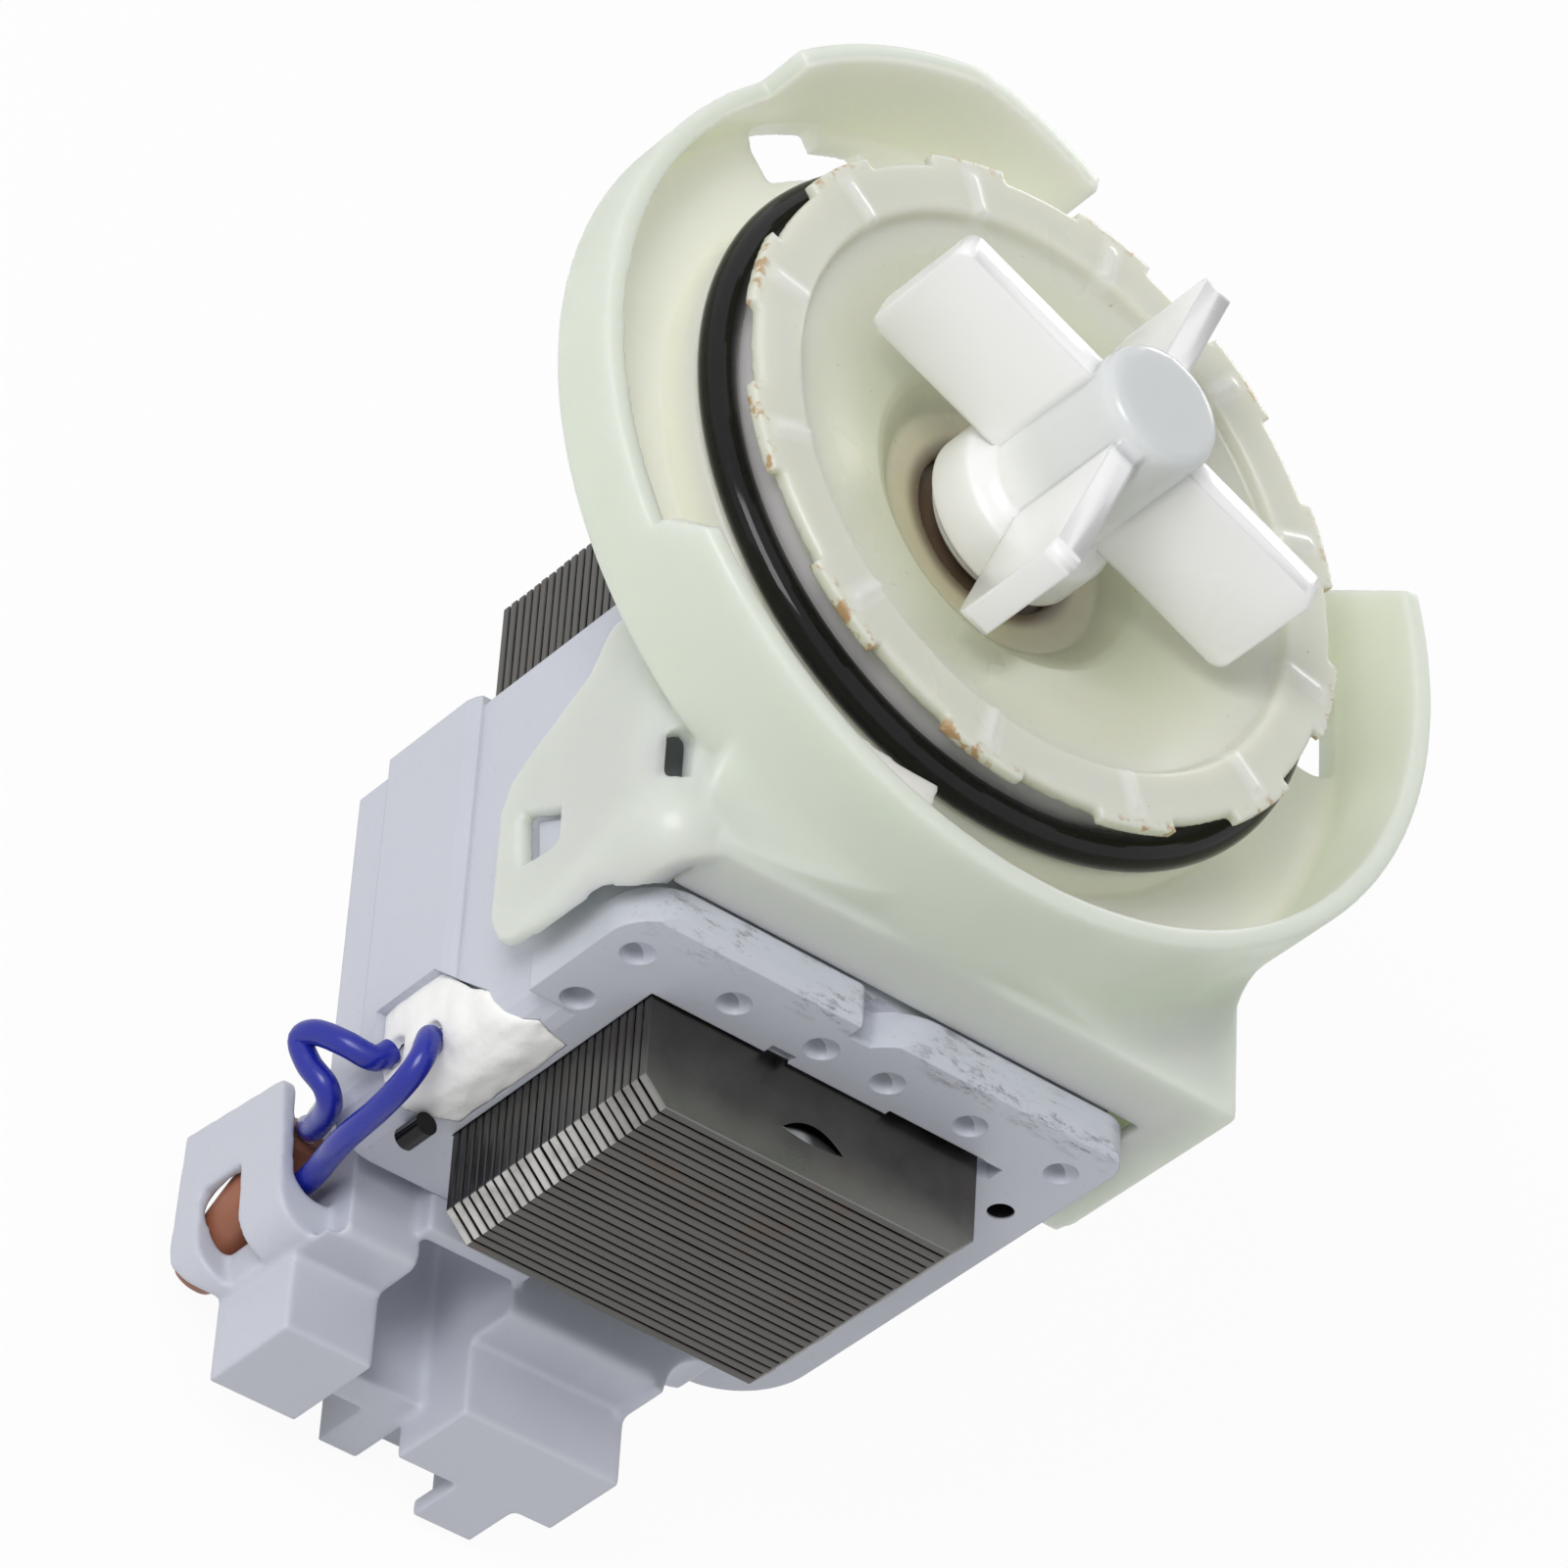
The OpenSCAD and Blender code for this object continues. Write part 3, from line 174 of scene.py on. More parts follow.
class Finish:
    """A material with its shader and a few plain ways to vary it over the surface."""

    def __init__(self, name, **sockets):
        self.material = bpy.data.materials.new(name)
        self.material.use_nodes = True
        self.tree = self.material.node_tree
        self.shader = self.tree.nodes["Principled BSDF"]
        self.place = self.tree.nodes.new("ShaderNodeTexCoord").outputs["Object"]
        for socket, value in sockets.items():
            self.shader.inputs[socket.replace("_", " ")].default_value = value

    def node(self, kind, **settings):
        made = self.tree.nodes.new(kind)
        for name, value in settings.items():
            setattr(made, name, value)
        return made

    def link(self, source, target):
        self.tree.links.new(source, target)

    def put(self, socket, value):
        """Sets a socket to a number or a colour, or links it to another socket."""
        if isinstance(value, bpy.types.NodeSocket):
            self.link(value, socket)
        elif isinstance(value, (int, float)):
            socket.default_value = value
        else:
            socket.default_value = (*value, 1)

    def math(self, operation, *values, clamp=False):
        made = self.node("ShaderNodeMath", operation=operation, use_clamp=clamp)
        for socket, value in zip(made.inputs, values):
            self.put(socket, value)
        return made.outputs[0]

    def times(self, first, *others):
        """Masks or shares multiplied together."""
        for value in others:
            first = self.math("MULTIPLY", first, value)
        return first

    def stretched(self, scale):
        mapping = self.node("ShaderNodeMapping")
        mapping.inputs["Scale"].default_value = scale
        self.link(self.place, mapping.inputs["Vector"])
        return mapping.outputs[0]

    def noise(self, size_mm, detail=3, rough=0.55, where=None):
        made = self.node("ShaderNodeTexNoise")
        made.inputs["Scale"].default_value = 1 / (size_mm * MM)
        made.inputs["Detail"].default_value = detail
        made.inputs["Roughness"].default_value = rough
        self.link(where or self.place, made.inputs["Vector"])
        return made.outputs["Fac"]

    def ramp(self, value, low, high, at_low=0.0, at_high=1.0):
        """Goes smoothly from at_low to at_high while the value goes from low to high."""
        made = self.node("ShaderNodeMapRange", interpolation_type="SMOOTHSTEP")
        self.link(value, made.inputs["Value"])
        ends = {"From Min": low, "From Max": high, "To Min": at_low, "To Max": at_high}
        for socket, number in ends.items():
            made.inputs[socket].default_value = number
        return made.outputs[0]

    def fade(self, place, low_mm, high_mm, at_low=0.0, at_high=1.0):
        """A ramp over a place or radius given in mm."""
        return self.ramp(place, low_mm * MM, high_mm * MM, at_low, at_high)

    def mix(self, share, first, second):
        made = self.node("ShaderNodeMix", data_type="RGBA")
        self.put(made.inputs["Factor"], share)
        self.put(made.inputs[MIX_FIRST], first)
        self.put(made.inputs[MIX_SECOND], second)
        return made.outputs[MIX_RESULT]

    def axis(self, name):
        made = self.node("ShaderNodeSeparateXYZ")
        self.link(self.place, made.inputs[0])
        return made.outputs[name]

    def distance(self, axes, centre):
        """Distance in metres from a line that crosses two axes at centre, in mm."""
        legs = [self.math("SUBTRACT", self.axis(name), at * MM) for name, at in zip(axes, centre)]
        return self.math("SQRT", self.math("ADD", *[self.times(leg, leg) for leg in legs]))

    def radius(self, centre=(0, 0)):
        return self.distance("XY", centre)

    def spokes(self, count, first_deg, width):
        """1 on thin spokes over the cover's rim, width as a share of their pitch."""
        turn = self.math("ARCTAN2", self.axis("Y"), self.axis("X"))
        turn = self.math("SUBTRACT", turn, math.radians(first_deg))
        share = self.math("FRACT", self.times(turn, count / math.tau))
        off = self.math("ABSOLUTE", self.math("SUBTRACT", share, 0.5))
        ring = self.times(self.fade(self.radius(), 24.0, 24.8), self.fade(self.radius(), 29.6, 28.8))
        return self.times(self.ramp(off, 0.5 - width, 0.5 - 0.4 * width), ring)

    def hole_mask(self, centre, radius_mm, top, deep):
        """1 inside a hole or pit of the housing's front, from y = top to y = deep, at (x, z) in mm."""
        reach = self.times(self.fade(self.axis("Y"), top, deep), self.fade(self.axis("Y"), -36, -38))
        round_it = self.fade(self.distance("XZ", centre), radius_mm * 1.03, radius_mm * 0.97)
        return self.times(round_it, reach)

    def facing(self, direction, low, high):
        """1 where the surface's own normal points along a direction of the object."""
        geometry = self.node("ShaderNodeNewGeometry")
        turn = self.node("ShaderNodeVectorTransform", vector_type="NORMAL", convert_from="WORLD",
                         convert_to="OBJECT")
        self.link(geometry.outputs["Normal"], turn.inputs[0])
        dot = self.node("ShaderNodeVectorMath", operation="DOT_PRODUCT")
        self.link(turn.outputs[0], dot.inputs[0])
        dot.inputs[1].default_value = direction
        return self.ramp(dot.outputs["Value"], low, high)

    def colour(self, value):
        self.put(self.shader.inputs["Base Color"], value)

    def roughness(self, value):
        self.put(self.shader.inputs["Roughness"], value)

    def soft_edges(self, edge_mm, target=None, samples=8):
        edge = self.node("ShaderNodeBevel", samples=samples)
        edge.inputs["Radius"].default_value = edge_mm * MM
        self.link(edge.outputs[0], target or self.shader.inputs["Normal"])

    def relief(self, height, depth_mm, edge_mm=0.0):
        """Fine bump from a height, and soft edges of a radius where edge_mm is given."""
        bump = self.node("ShaderNodeBump")
        bump.inputs["Strength"].default_value = 1.0
        bump.inputs["Distance"].default_value = depth_mm * MM
        self.link(height, bump.inputs["Height"])
        if edge_mm:
            self.soft_edges(edge_mm, bump.inputs["Normal"], samples=6)
        self.link(bump.outputs[0], self.shader.inputs["Normal"])


def milky_green():
    """Pale green polypropylene, coloured yellower and lighter inside the cup and its top lobe as
    painted light, for light shining through the wall.
    """
    f = Finish("milky green polypropylene", Roughness=0.38, Subsurface_Weight=0.85,
               Subsurface_Scale=0.006, Subsurface_Radius=(0.9, 1.0, 0.7), Specular_IOR_Level=0.4)
    # Painted light: inside the cup well and its top lobe the colour is lighter, standing in for light
    # shining through the wall.
    well = f.times(f.fade(f.radius(), 38.6, 37.6), f.fade(f.axis("Z"), -7.6, -5.8))
    lobe = f.times(f.fade(f.radius(), 38.8, 38.4), f.fade(f.axis("Y"), 16, 28))
    inside = f.math("MAXIMUM", well, f.times(lobe, 0.9))
    cloud = f.noise(16)
    pale = f.mix(cloud, (0.64, 0.70, 0.60), (0.70, 0.75, 0.66))
    # deep is the lighter colour that paints this light inside the cup.
    deep = f.mix(cloud, (0.90, 0.93, 0.74), (0.95, 0.97, 0.82))
    f.colour(f.mix(inside, pale, deep))
    f.roughness(f.ramp(f.noise(6), 0.3, 0.7, 0.30, 0.46))
    f.relief(f.noise(2.5), 0.006)
    return f.material


def milky_beige():
    """Cover plastic: pale ring with a rib under each tooth, tea stains round the bore and on the teeth,
    and painted shade at the bore's edge.
    """
    f = Finish("milky beige polypropylene", Roughness=0.30, Subsurface_Weight=0.7,
               Subsurface_Scale=0.004, Subsurface_Radius=(1.0, 0.9, 0.6), Specular_IOR_Level=0.5)
    cloud = f.noise(11)
    dish = f.mix(cloud, (0.66, 0.68, 0.53), (0.72, 0.73, 0.61))
    rim = f.mix(cloud, (0.66, 0.67, 0.56), (0.73, 0.73, 0.64))
    body = f.mix(f.fade(f.radius(), 21.2, 23.6), dish, rim)
    body = f.mix(f.times(f.spokes(TEETH, TOOTH_TURN, 0.10), 0.35), body, (0.90, 0.89, 0.84))
    low = f.mix(f.fade(f.radius(), 24.5, 12.5), body, (0.60, 0.62, 0.44))
    ring = f.times(f.fade(f.radius(), 12.4, 9.2), f.ramp(f.noise(3, 5), 0.2, 0.55, 0.5, 1.0))
    stained = f.mix(f.times(ring, 0.38), low, (0.40, 0.27, 0.15))
    # Painted shade: a near-black brown at the bore's edge, where shade falls beside the boss. From here
    # on, stained holds both the tea stains and this shade.
    bore = f.fade(f.radius(), 9.0, 7.6)
    stained = f.mix(f.times(bore, 0.85), stained, (0.13, 0.09, 0.06))
    teeth = f.times(f.fade(f.radius(), 28.9, 29.9), f.ramp(f.noise(1.6, 4), 0.50, 0.62))
    rusty = f.mix(f.times(teeth, 0.8), stained, (0.40, 0.20, 0.07))
    specks = f.times(f.ramp(f.noise(0.8, 2), 0.72, 0.78), 0.5)
    f.colour(f.mix(specks, rusty, (0.36, 0.26, 0.14)))
    f.roughness(f.ramp(f.noise(12, 2), 0.3, 0.7, 0.26, 0.36))
    f.relief(f.noise(8, 1), 0.004)
    return f.material


def glossy_white():
    """Impeller plastic, with painted shade that makes the hub greyer, and a gate mark on its end."""
    f = Finish("glossy white plastic", Roughness=0.24, Subsurface_Weight=0.5,
               Subsurface_Scale=0.003, Subsurface_Radius=(1.0, 1.0, 1.0), Specular_IOR_Level=0.5)
    blade = f.mix(f.noise(9), (0.96, 0.96, 0.97), (0.98, 0.98, 0.985))
    # Painted shade: the hub is coloured grey for the shade that falls on it.
    hub = f.times(f.fade(f.radius(), 6.4, 5.0), f.fade(f.axis("Z"), 4, 10))
    white = f.mix(f.times(hub, 0.9), blade, (0.62, 0.645, 0.65))
    gate = f.times(f.fade(f.radius((0.4, 0.3)), 1.1, 0.5), f.fade(f.axis("Z"), 20, 22))
    f.colour(f.mix(f.times(gate, 0.5), white, (0.55, 0.57, 0.56)))
    f.roughness(f.ramp(f.noise(14, 1), 0.3, 0.7, 0.22, 0.28))
    f.soft_edges(0.35)
    return f.material


def cool_grey():
    """Glass-filled housing plastic, scuffed dark along the front edge, with painted shade in the pits
    and a near-black painted shade inside the hole.
    """
    f = Finish("cool grey housing plastic", Roughness=0.45, Specular_IOR_Level=0.4)
    cloud = f.noise(10, 4)
    clean = f.mix(cloud, (0.54, 0.56, 0.63), (0.61, 0.63, 0.70))
    speck = f.ramp(f.noise(0.5, 2), 0.66, 0.74)
    clean = f.mix(f.times(speck, 0.25), clean, (0.40, 0.41, 0.44))
    streaks = f.noise(1.1, 8, 0.8, f.stretched((0.3, 1, 1)))
    patches = f.ramp(f.noise(7, 2), 0.42, 0.56)
    strip = f.times(f.fade(f.axis("Z"), -15.8, -13.6), f.fade(f.axis("Y"), -39.2, -40.2))
    scuff = f.times(f.ramp(streaks, 0.50, 0.64), strip, patches)
    worn_and_pit_shade = f.mix(f.times(scuff, 0.7), clean, (0.06, 0.06, 0.06))
    # Painted shade: each pit is darkened where shade falls inside it.
    for spot in PITS:
        pit = f.hole_mask(spot, PIT_R, -43.1, -42.4)
        worn_and_pit_shade = f.mix(f.times(pit, 0.75), worn_and_pit_shade, (0.20, 0.21, 0.24))
    # Painted shade: the inside of the hole is coloured near black.
    f.colour(f.mix(f.hole_mask(HOLE, HOLE_R, -43.25, -43.0), worn_and_pit_shade, (0.012, 0.012, 0.012)))
    f.roughness(f.ramp(cloud, 0.3, 0.7, 0.34, 0.52))
    f.relief(f.noise(0.35), 0.012, 0.18)
    return f.material


def black_rubber():
    f = Finish("black seal rubber", Roughness=0.12, Specular_IOR_Level=0.22)
    f.colour(f.mix(f.noise(3, 4), (0.004, 0.004, 0.005), (0.012, 0.012, 0.012)))
    f.roughness(f.ramp(f.noise(2, 4), 0.35, 0.7, 0.07, 0.18))
    f.relief(f.noise(0.6), 0.005)
    return f.material


def clinch_shares(f):
    """Place in the pressed lens: along its length, up its height, and 1 inside it."""
    along = f.math("DIVIDE", f.axis("X"), CLINCH_HALF * MM)
    bow = f.math("SUBTRACT", 1.0, f.times(along, along), clamp=True)
    low = f.math("ADD", CLINCH_LOW * MM, f.times(bow, -CLINCH_BOW * MM))
    height = f.math("ADD", 0.0001 * MM, f.times(bow, CLINCH_RISE * MM))
    up = f.math("DIVIDE", f.math("SUBTRACT", f.axis("Y"), low), height)
    within = f.times(f.math("GREATER_THAN", up, 0.0), f.math("LESS_THAN", up, 1.0),
                     f.math("GREATER_THAN", bow, 0.02),
                     f.fade(f.axis("Z"), CORE_FRONT - 0.93, CORE_FRONT - 0.83))
    return along, up, within


def dark_lamination():
    """Lacquered core sheet: dark faces, a painted highlight on the cut corner, a painted sheen low on
    the front, and a clinch mark in front with painted shade on its wall and a painted glint.
    """
    f = Finish("lacquered core steel", Metallic=1.0, Roughness=0.35)
    streak = f.noise(2.5, 5, 0.6, f.stretched((0.4, 0.4, 3)))
    base = f.mix(streak, (0.070, 0.068, 0.065), (0.145, 0.142, 0.135))
    rust = f.times(f.ramp(f.noise(7, 4), 0.56, 0.7), 0.35)
    base = f.mix(rust, base, (0.13, 0.085, 0.065))
    # Painted highlight: the cut corner is coloured bright in streaks, weaker towards the front, for the
    # glints of light on its sheet edges.
    corner = f.facing((-0.7071, -0.7071, 0), 0.80, 0.97)
    corner_glint_streaks = f.ramp(f.noise(2.2, 4, 0.6, f.stretched((1, 1, 0.6))), 0.30, 0.62, 0.55, 1.0)
    less_behind = f.fade(f.axis("Z"), -21.5, -34, 0.35, 0.85)
    base = f.mix(f.times(corner, corner_glint_streaks, less_behind), base, (0.62, 0.61, 0.59))
    # Painted sheen: a lighter band of colour low on the front sheet.
    front = f.fade(f.axis("Z"), CORE_FRONT - 0.13, CORE_FRONT - 0.03)
    sheen = f.times(f.fade(f.axis("Y"), -47.8, -52.2), front, 0.6)
    base = f.mix(sheen, base, (0.24, 0.24, 0.225))
    along, up, within = clinch_shares(f)
    # Painted shade on the clinch mark's upper wall, near black, and a painted glint on its left part.
    wall = f.times(within, f.ramp(up, 0.66, 0.88))
    glint = f.times(within, f.ramp(up, 0.75, 0.45), f.ramp(along, 0.1, -0.35))
    base = f.mix(wall, base, (0.006, 0.006, 0.006))
    f.colour(f.mix(glint, base, (0.85, 0.85, 0.84)))
    f.roughness(f.ramp(streak, 0.3, 0.7, 0.26, 0.42))
    f.relief(f.noise(0.5), 0.01)
    return f.material


def plain_finish(name, first, second, size_mm=4, grain_mm=0.6, low_gloss=0.35, high_gloss=0.55,
                 metal=0.0, depth_mm=0.012):
    """Two near colours in soft clouds, with a fine grain."""
    f = Finish(name, Metallic=metal)
    f.colour(f.mix(f.noise(size_mm, 4), first, second))
    f.roughness(f.ramp(f.noise(size_mm * 0.7), 0.3, 0.7, low_gloss, high_gloss))
    f.relief(f.noise(grain_mm), depth_mm)
    return f.material


finishes = {
    "impeller_white": glossy_white(),
    "cover_milky": milky_beige(),
    "bracket_green": milky_green(),
    "housing_grey": cool_grey(),
    "core_steel": dark_lamination(),
    "rubber_black": black_rubber(),
    "lip_stained": plain_finish("seal lip stained by tea", (0.10, 0.065, 0.04), (0.20, 0.14, 0.09),
                                size_mm=3),
    "dark_plastic": plain_finish("dark moulded plastic", (0.045, 0.045, 0.05), (0.08, 0.08, 0.085)),
    "bearing_carbon": plain_finish("carbon bearing", (0.02, 0.02, 0.02), (0.05, 0.05, 0.05)),
    "washer_steel": plain_finish("washer steel", (0.45, 0.45, 0.45), (0.6, 0.6, 0.6), metal=1.0),
    "shaft_steel": plain_finish("ground shaft steel", (0.5, 0.5, 0.5), (0.62, 0.62, 0.63),
                                metal=1.0, low_gloss=0.15, high_gloss=0.3),
    "magnet_ferrite": plain_finish("ferrite magnet", (0.07, 0.07, 0.075), (0.12, 0.12, 0.125)),
    "bobbin_white": plain_finish("bobbin nylon", (0.6, 0.58, 0.5), (0.7, 0.68, 0.6)),
    "copper_enamel": plain_finish("enamelled copper", (0.42, 0.13, 0.03), (0.55, 0.2, 0.06),
                                  size_mm=1.2, metal=0.8, low_gloss=0.2, high_gloss=0.35),
    "tab_brass": plain_finish("tinned brass", (0.5, 0.47, 0.36), (0.62, 0.58, 0.46), metal=1.0),
    "protector_brown": plain_finish("terracotta sleeve", (0.26, 0.09, 0.05), (0.36, 0.14, 0.08),
                                    size_mm=2, grain_mm=0.4, depth_mm=0.03),
    "lead_blue": plain_finish("blue lead insulation", (0.007, 0.014, 0.26), (0.013, 0.022, 0.36),
                              size_mm=3, low_gloss=0.22, high_gloss=0.36),
    "sealant_white": plain_finish("cream sealant", (0.91, 0.91, 0.88), (0.965, 0.96, 0.945),
                                  size_mm=5, grain_mm=1.5, low_gloss=0.25, high_gloss=0.45,
                                  depth_mm=0.10),
}

for row in frame["record"]["subparts"]:
    mesh = nodes[row["node"]].data
    mesh.materials.clear()
    finish = "lip_stained" if row["node"] == "lip_seal" else row["material_slot"]
    mesh.materials.append(finishes[finish])


# ---- shapes ----

SHARP_DEG = 28
LUMP_HEIGHT, LUMP_SIZE = 1.1, 4.5


def add_object(name, mesh, material):
    obj = bpy.data.objects.new(name, mesh)
    bpy.context.scene.collection.objects.link(obj)
    mesh.materials.clear()
    mesh.materials.append(material)
    return obj


def bake_modifiers(obj):
    """Turns an object with its modifiers into a plain mesh."""
    depsgraph = bpy.context.evaluated_depsgraph_get()
    plain = bpy.data.meshes.new_from_object(obj.evaluated_get(depsgraph))
    obj.modifiers.clear()
    obj.data = plain
    return plain


def shade_smooth(mesh):
    mesh.polygons.foreach_set("use_smooth", [True] * len(mesh.polygons))


def stand_in(obj, body, node):
    """Puts a finished piece on its body in place of a solid."""
    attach(obj, body)
    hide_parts(node)


def joined_copy(node):
    """The solid's own mesh with its loose triangles merged."""
    mesh = nodes[node].data.copy()
    work = bmesh.new()
    work.from_mesh(mesh)
    bmesh.ops.remove_doubles(work, verts=work.verts, dist=2e-6)
    work.to_mesh(mesh)
    work.free()
    return mesh


class Recipe:
    """A geometry tree with named inputs, built node by node."""

    def __init__(self, name, **inputs):
        self.tree = bpy.data.node_groups.new(name, "GeometryNodeTree")
        face = self.tree.interface
        face.new_socket("Geometry", in_out="INPUT", socket_type="NodeSocketGeometry")
        self.keys = {}
        for label, kind in inputs.items():
            socket = face.new_socket(label, in_out="INPUT", socket_type="NodeSocket" + kind)
            self.keys[label] = socket.identifier
        face.new_socket("Geometry", in_out="OUTPUT", socket_type="NodeSocketGeometry")
        self.start = self.tree.nodes.new("NodeGroupInput")
        self.end = self.tree.nodes.new("NodeGroupOutput")

    def node(self, kind, links=None, values=None, **settings):
        made = self.tree.nodes.new(kind)
        for key, value in settings.items():
            setattr(made, key, value)
        for key, value in (values or {}).items():
            made.inputs[key].default_value = value
        for key, source in (links or {}).items():
            self.tree.links.new(source, made.inputs[key])
        return made

    def finish(self, geometry, material):
        real = self.node("GeometryNodeRealizeInstances", {"Geometry": geometry})
        painted = self.node("GeometryNodeSetMaterial", {"Geometry": real.outputs[0]},
                            {"Material": material})
        self.tree.links.new(painted.outputs[0], self.end.inputs[0])

    def run(self, obj, **values):
        modifier = obj.modifiers.new("recipe", "NODES")
        modifier.node_group = self.tree
        for label, value in values.items():
            modifier[self.keys[label]] = value


def crisp(node, name, body, slot):
    """A copy of a solid whose curved faces shade smoothly and whose edges stay sharp."""
    mesh = joined_copy(node)
    obj = add_object(name, mesh, finishes[slot])
    shade_smooth(mesh)
    mesh.set_sharp_from_angle(angle=math.radians(SHARP_DEG))
    even = obj.modifiers.new("even", "WEIGHTED_NORMAL")
    even.keep_sharp = True
    bake_modifiers(obj)
    stand_in(obj, body, node)


def lump_recipe():
    """Pushes a surface in and out along its normals by smooth noise."""
    recipe = Recipe("lumps", Height="Float", Size="Float")
    given = recipe.start.outputs
    often = recipe.node("ShaderNodeMath", {1: given["Size"]}, {0: 1.0}, operation="DIVIDE")
    noise = recipe.node("ShaderNodeTexNoise", {"Scale": often.outputs[0]}, {"Detail": 1.5})
    level = recipe.node("ShaderNodeMath", {0: noise.outputs["Fac"]}, {1: 0.5}, operation="SUBTRACT")
    push = recipe.node("ShaderNodeMath", {0: level.outputs[0], 1: given["Height"]},
                       operation="MULTIPLY")
    normal = recipe.node("GeometryNodeInputNormal")
    shift = recipe.node("ShaderNodeVectorMath", {0: normal.outputs[0], "Scale": push.outputs[0]},
                        operation="SCALE")
    moved = recipe.node("GeometryNodeSetPosition",
                        {"Geometry": given["Geometry"], "Offset": shift.outputs[0]})
    recipe.finish(moved.outputs[0], finishes["sealant_white"])
    return recipe


def soften(node, name, body, slot, voxel_mm, rounds, keep, lumpy=False):
    """A copy of a solid with moulded edges: its corners rounded by a little more than one voxel."""
    obj = add_object(name, joined_copy(node), finishes[slot])
    grid = obj.modifiers.new("grid", "REMESH")
    grid.mode = "VOXEL"
    grid.voxel_size = voxel_mm * MM
    relax = obj.modifiers.new("relax", "SMOOTH")
    relax.factor = 0.5
    relax.iterations = rounds
    thin = obj.modifiers.new("thin", "DECIMATE")
    thin.ratio = keep
    if lumpy:
        lump_recipe().run(obj, Height=LUMP_HEIGHT * MM, Size=LUMP_SIZE * MM)
    shade_smooth(bake_modifiers(obj))
    stand_in(obj, body, node)


# ---- core of stacked sheets ----

SEAT_STEPS = 14
SLIP_SEED = 7


def sheet_outline():
    """Outline of one sheet, two legs and a yoke, with the round seat between the leg ends."""
    top = math.asin(LEG_END / BORE_R)
    low = -math.acos(GAP_HALF / BORE_R)
    turns = [top + (low - top) * i / SEAT_STEPS for i in range(SEAT_STEPS + 1)]
    seat = [(BORE_R * math.cos(turn), BORE_R * math.sin(turn)) for turn in turns]
    leg = [(HALF_W - CHAMFER, CORE_LOW), (HALF_W, CORE_LOW + CHAMFER), (HALF_W, LEG_END)]
    right = leg + seat + [(GAP_HALF, YOKE_TOP)]
    return right + [(-x, y) for x, y in reversed(right)]


def sheet_recipe():
    """Stacks copies of a flat outline, each pushed a hair out of line as in a pressed stack."""
    recipe = Recipe("sheet stack", Count="Int", Pitch="Float", Thickness="Float", Slip="Float",
                    Seed="Int")
    given = recipe.start.outputs
    thick = recipe.node("ShaderNodeCombineXYZ", {"Z": given["Thickness"]})
    raised = recipe.node("GeometryNodeExtrudeMesh",
                         {"Mesh": given["Geometry"], "Offset": thick.outputs[0]},
                         {"Offset Scale": 1.0, "Individual": False}, mode="FACES")
    under = recipe.node("GeometryNodeFlipFaces", {"Mesh": given["Geometry"]})
    whole = recipe.node("GeometryNodeJoinGeometry")
    recipe.tree.links.new(raised.outputs["Mesh"], whole.inputs[0])
    recipe.tree.links.new(under.outputs[0], whole.inputs[0])
    closed = recipe.node("GeometryNodeMergeByDistance", {"Geometry": whole.outputs[0]},
                         {"Distance": 1e-6})
    step = recipe.node("ShaderNodeCombineXYZ", {"Z": given["Pitch"]})
    line = recipe.node("GeometryNodeMeshLine",
                       {"Count": given["Count"], "Offset": step.outputs[0]}, mode="OFFSET")
    less = recipe.node("ShaderNodeMath", {0: given["Slip"]}, {1: -1.0}, operation="MULTIPLY")
    low = recipe.node("ShaderNodeCombineXYZ", {"X": less.outputs[0], "Y": less.outputs[0]})
    high = recipe.node("ShaderNodeCombineXYZ", {"X": given["Slip"], "Y": given["Slip"]})
    slip = recipe.node("FunctionNodeRandomValue",
                       {0: low.outputs[0], 1: high.outputs[0], "Seed": given["Seed"]},
                       data_type="FLOAT_VECTOR")
    moved = recipe.node("GeometryNodeSetPosition",
                        {"Geometry": line.outputs[0], "Offset": slip.outputs[0]})
    stack = recipe.node("GeometryNodeInstanceOnPoints",
                        {"Points": moved.outputs[0], "Instance": closed.outputs[0]})
    lifted = recipe.node("GeometryNodeTransform", {"Geometry": stack.outputs[0]},
                         {"Translation": (0, 0, CORE_BACK * MM)})
    recipe.finish(lifted.outputs[0], finishes["core_steel"])
    return recipe


def clinch_cutter():
    """Solid that presses a lens into the front sheet: shallow below, a steep wall above."""
    steps, tip, over, clear = 14, 0.98, 0.01, 0.4
    work = bmesh.new()
    rings = []
    for i in range(steps + 1):
        along = -tip + 2 * tip * i / steps
        bow = 1 - along * along
        low = CLINCH_LOW - CLINCH_BOW * bow
        high = low + CLINCH_RISE * bow
        corners = [(low, CORE_FRONT + over), (high, CORE_FRONT - CLINCH_DEEP * bow ** 0.5),
                   (high, CORE_FRONT + clear), (low, CORE_FRONT + clear)]
        rings.append([work.verts.new((CLINCH_HALF * along * MM, y * MM, z * MM)) for y, z in corners])
    for first, second in zip(rings, rings[1:]):
        for k in range(4):
            work.faces.new([first[k], first[(k + 1) % 4], second[(k + 1) % 4], second[k]])
    work.faces.new(rings[0])
    work.faces.new(rings[-1][::-1])
    bmesh.ops.recalc_face_normals(work, faces=work.faces)
    mesh = bpy.data.meshes.new("clinch cutter")
    work.to_mesh(mesh)
    work.free()
    return add_object("clinch_cutter", mesh, finishes["core_steel"])


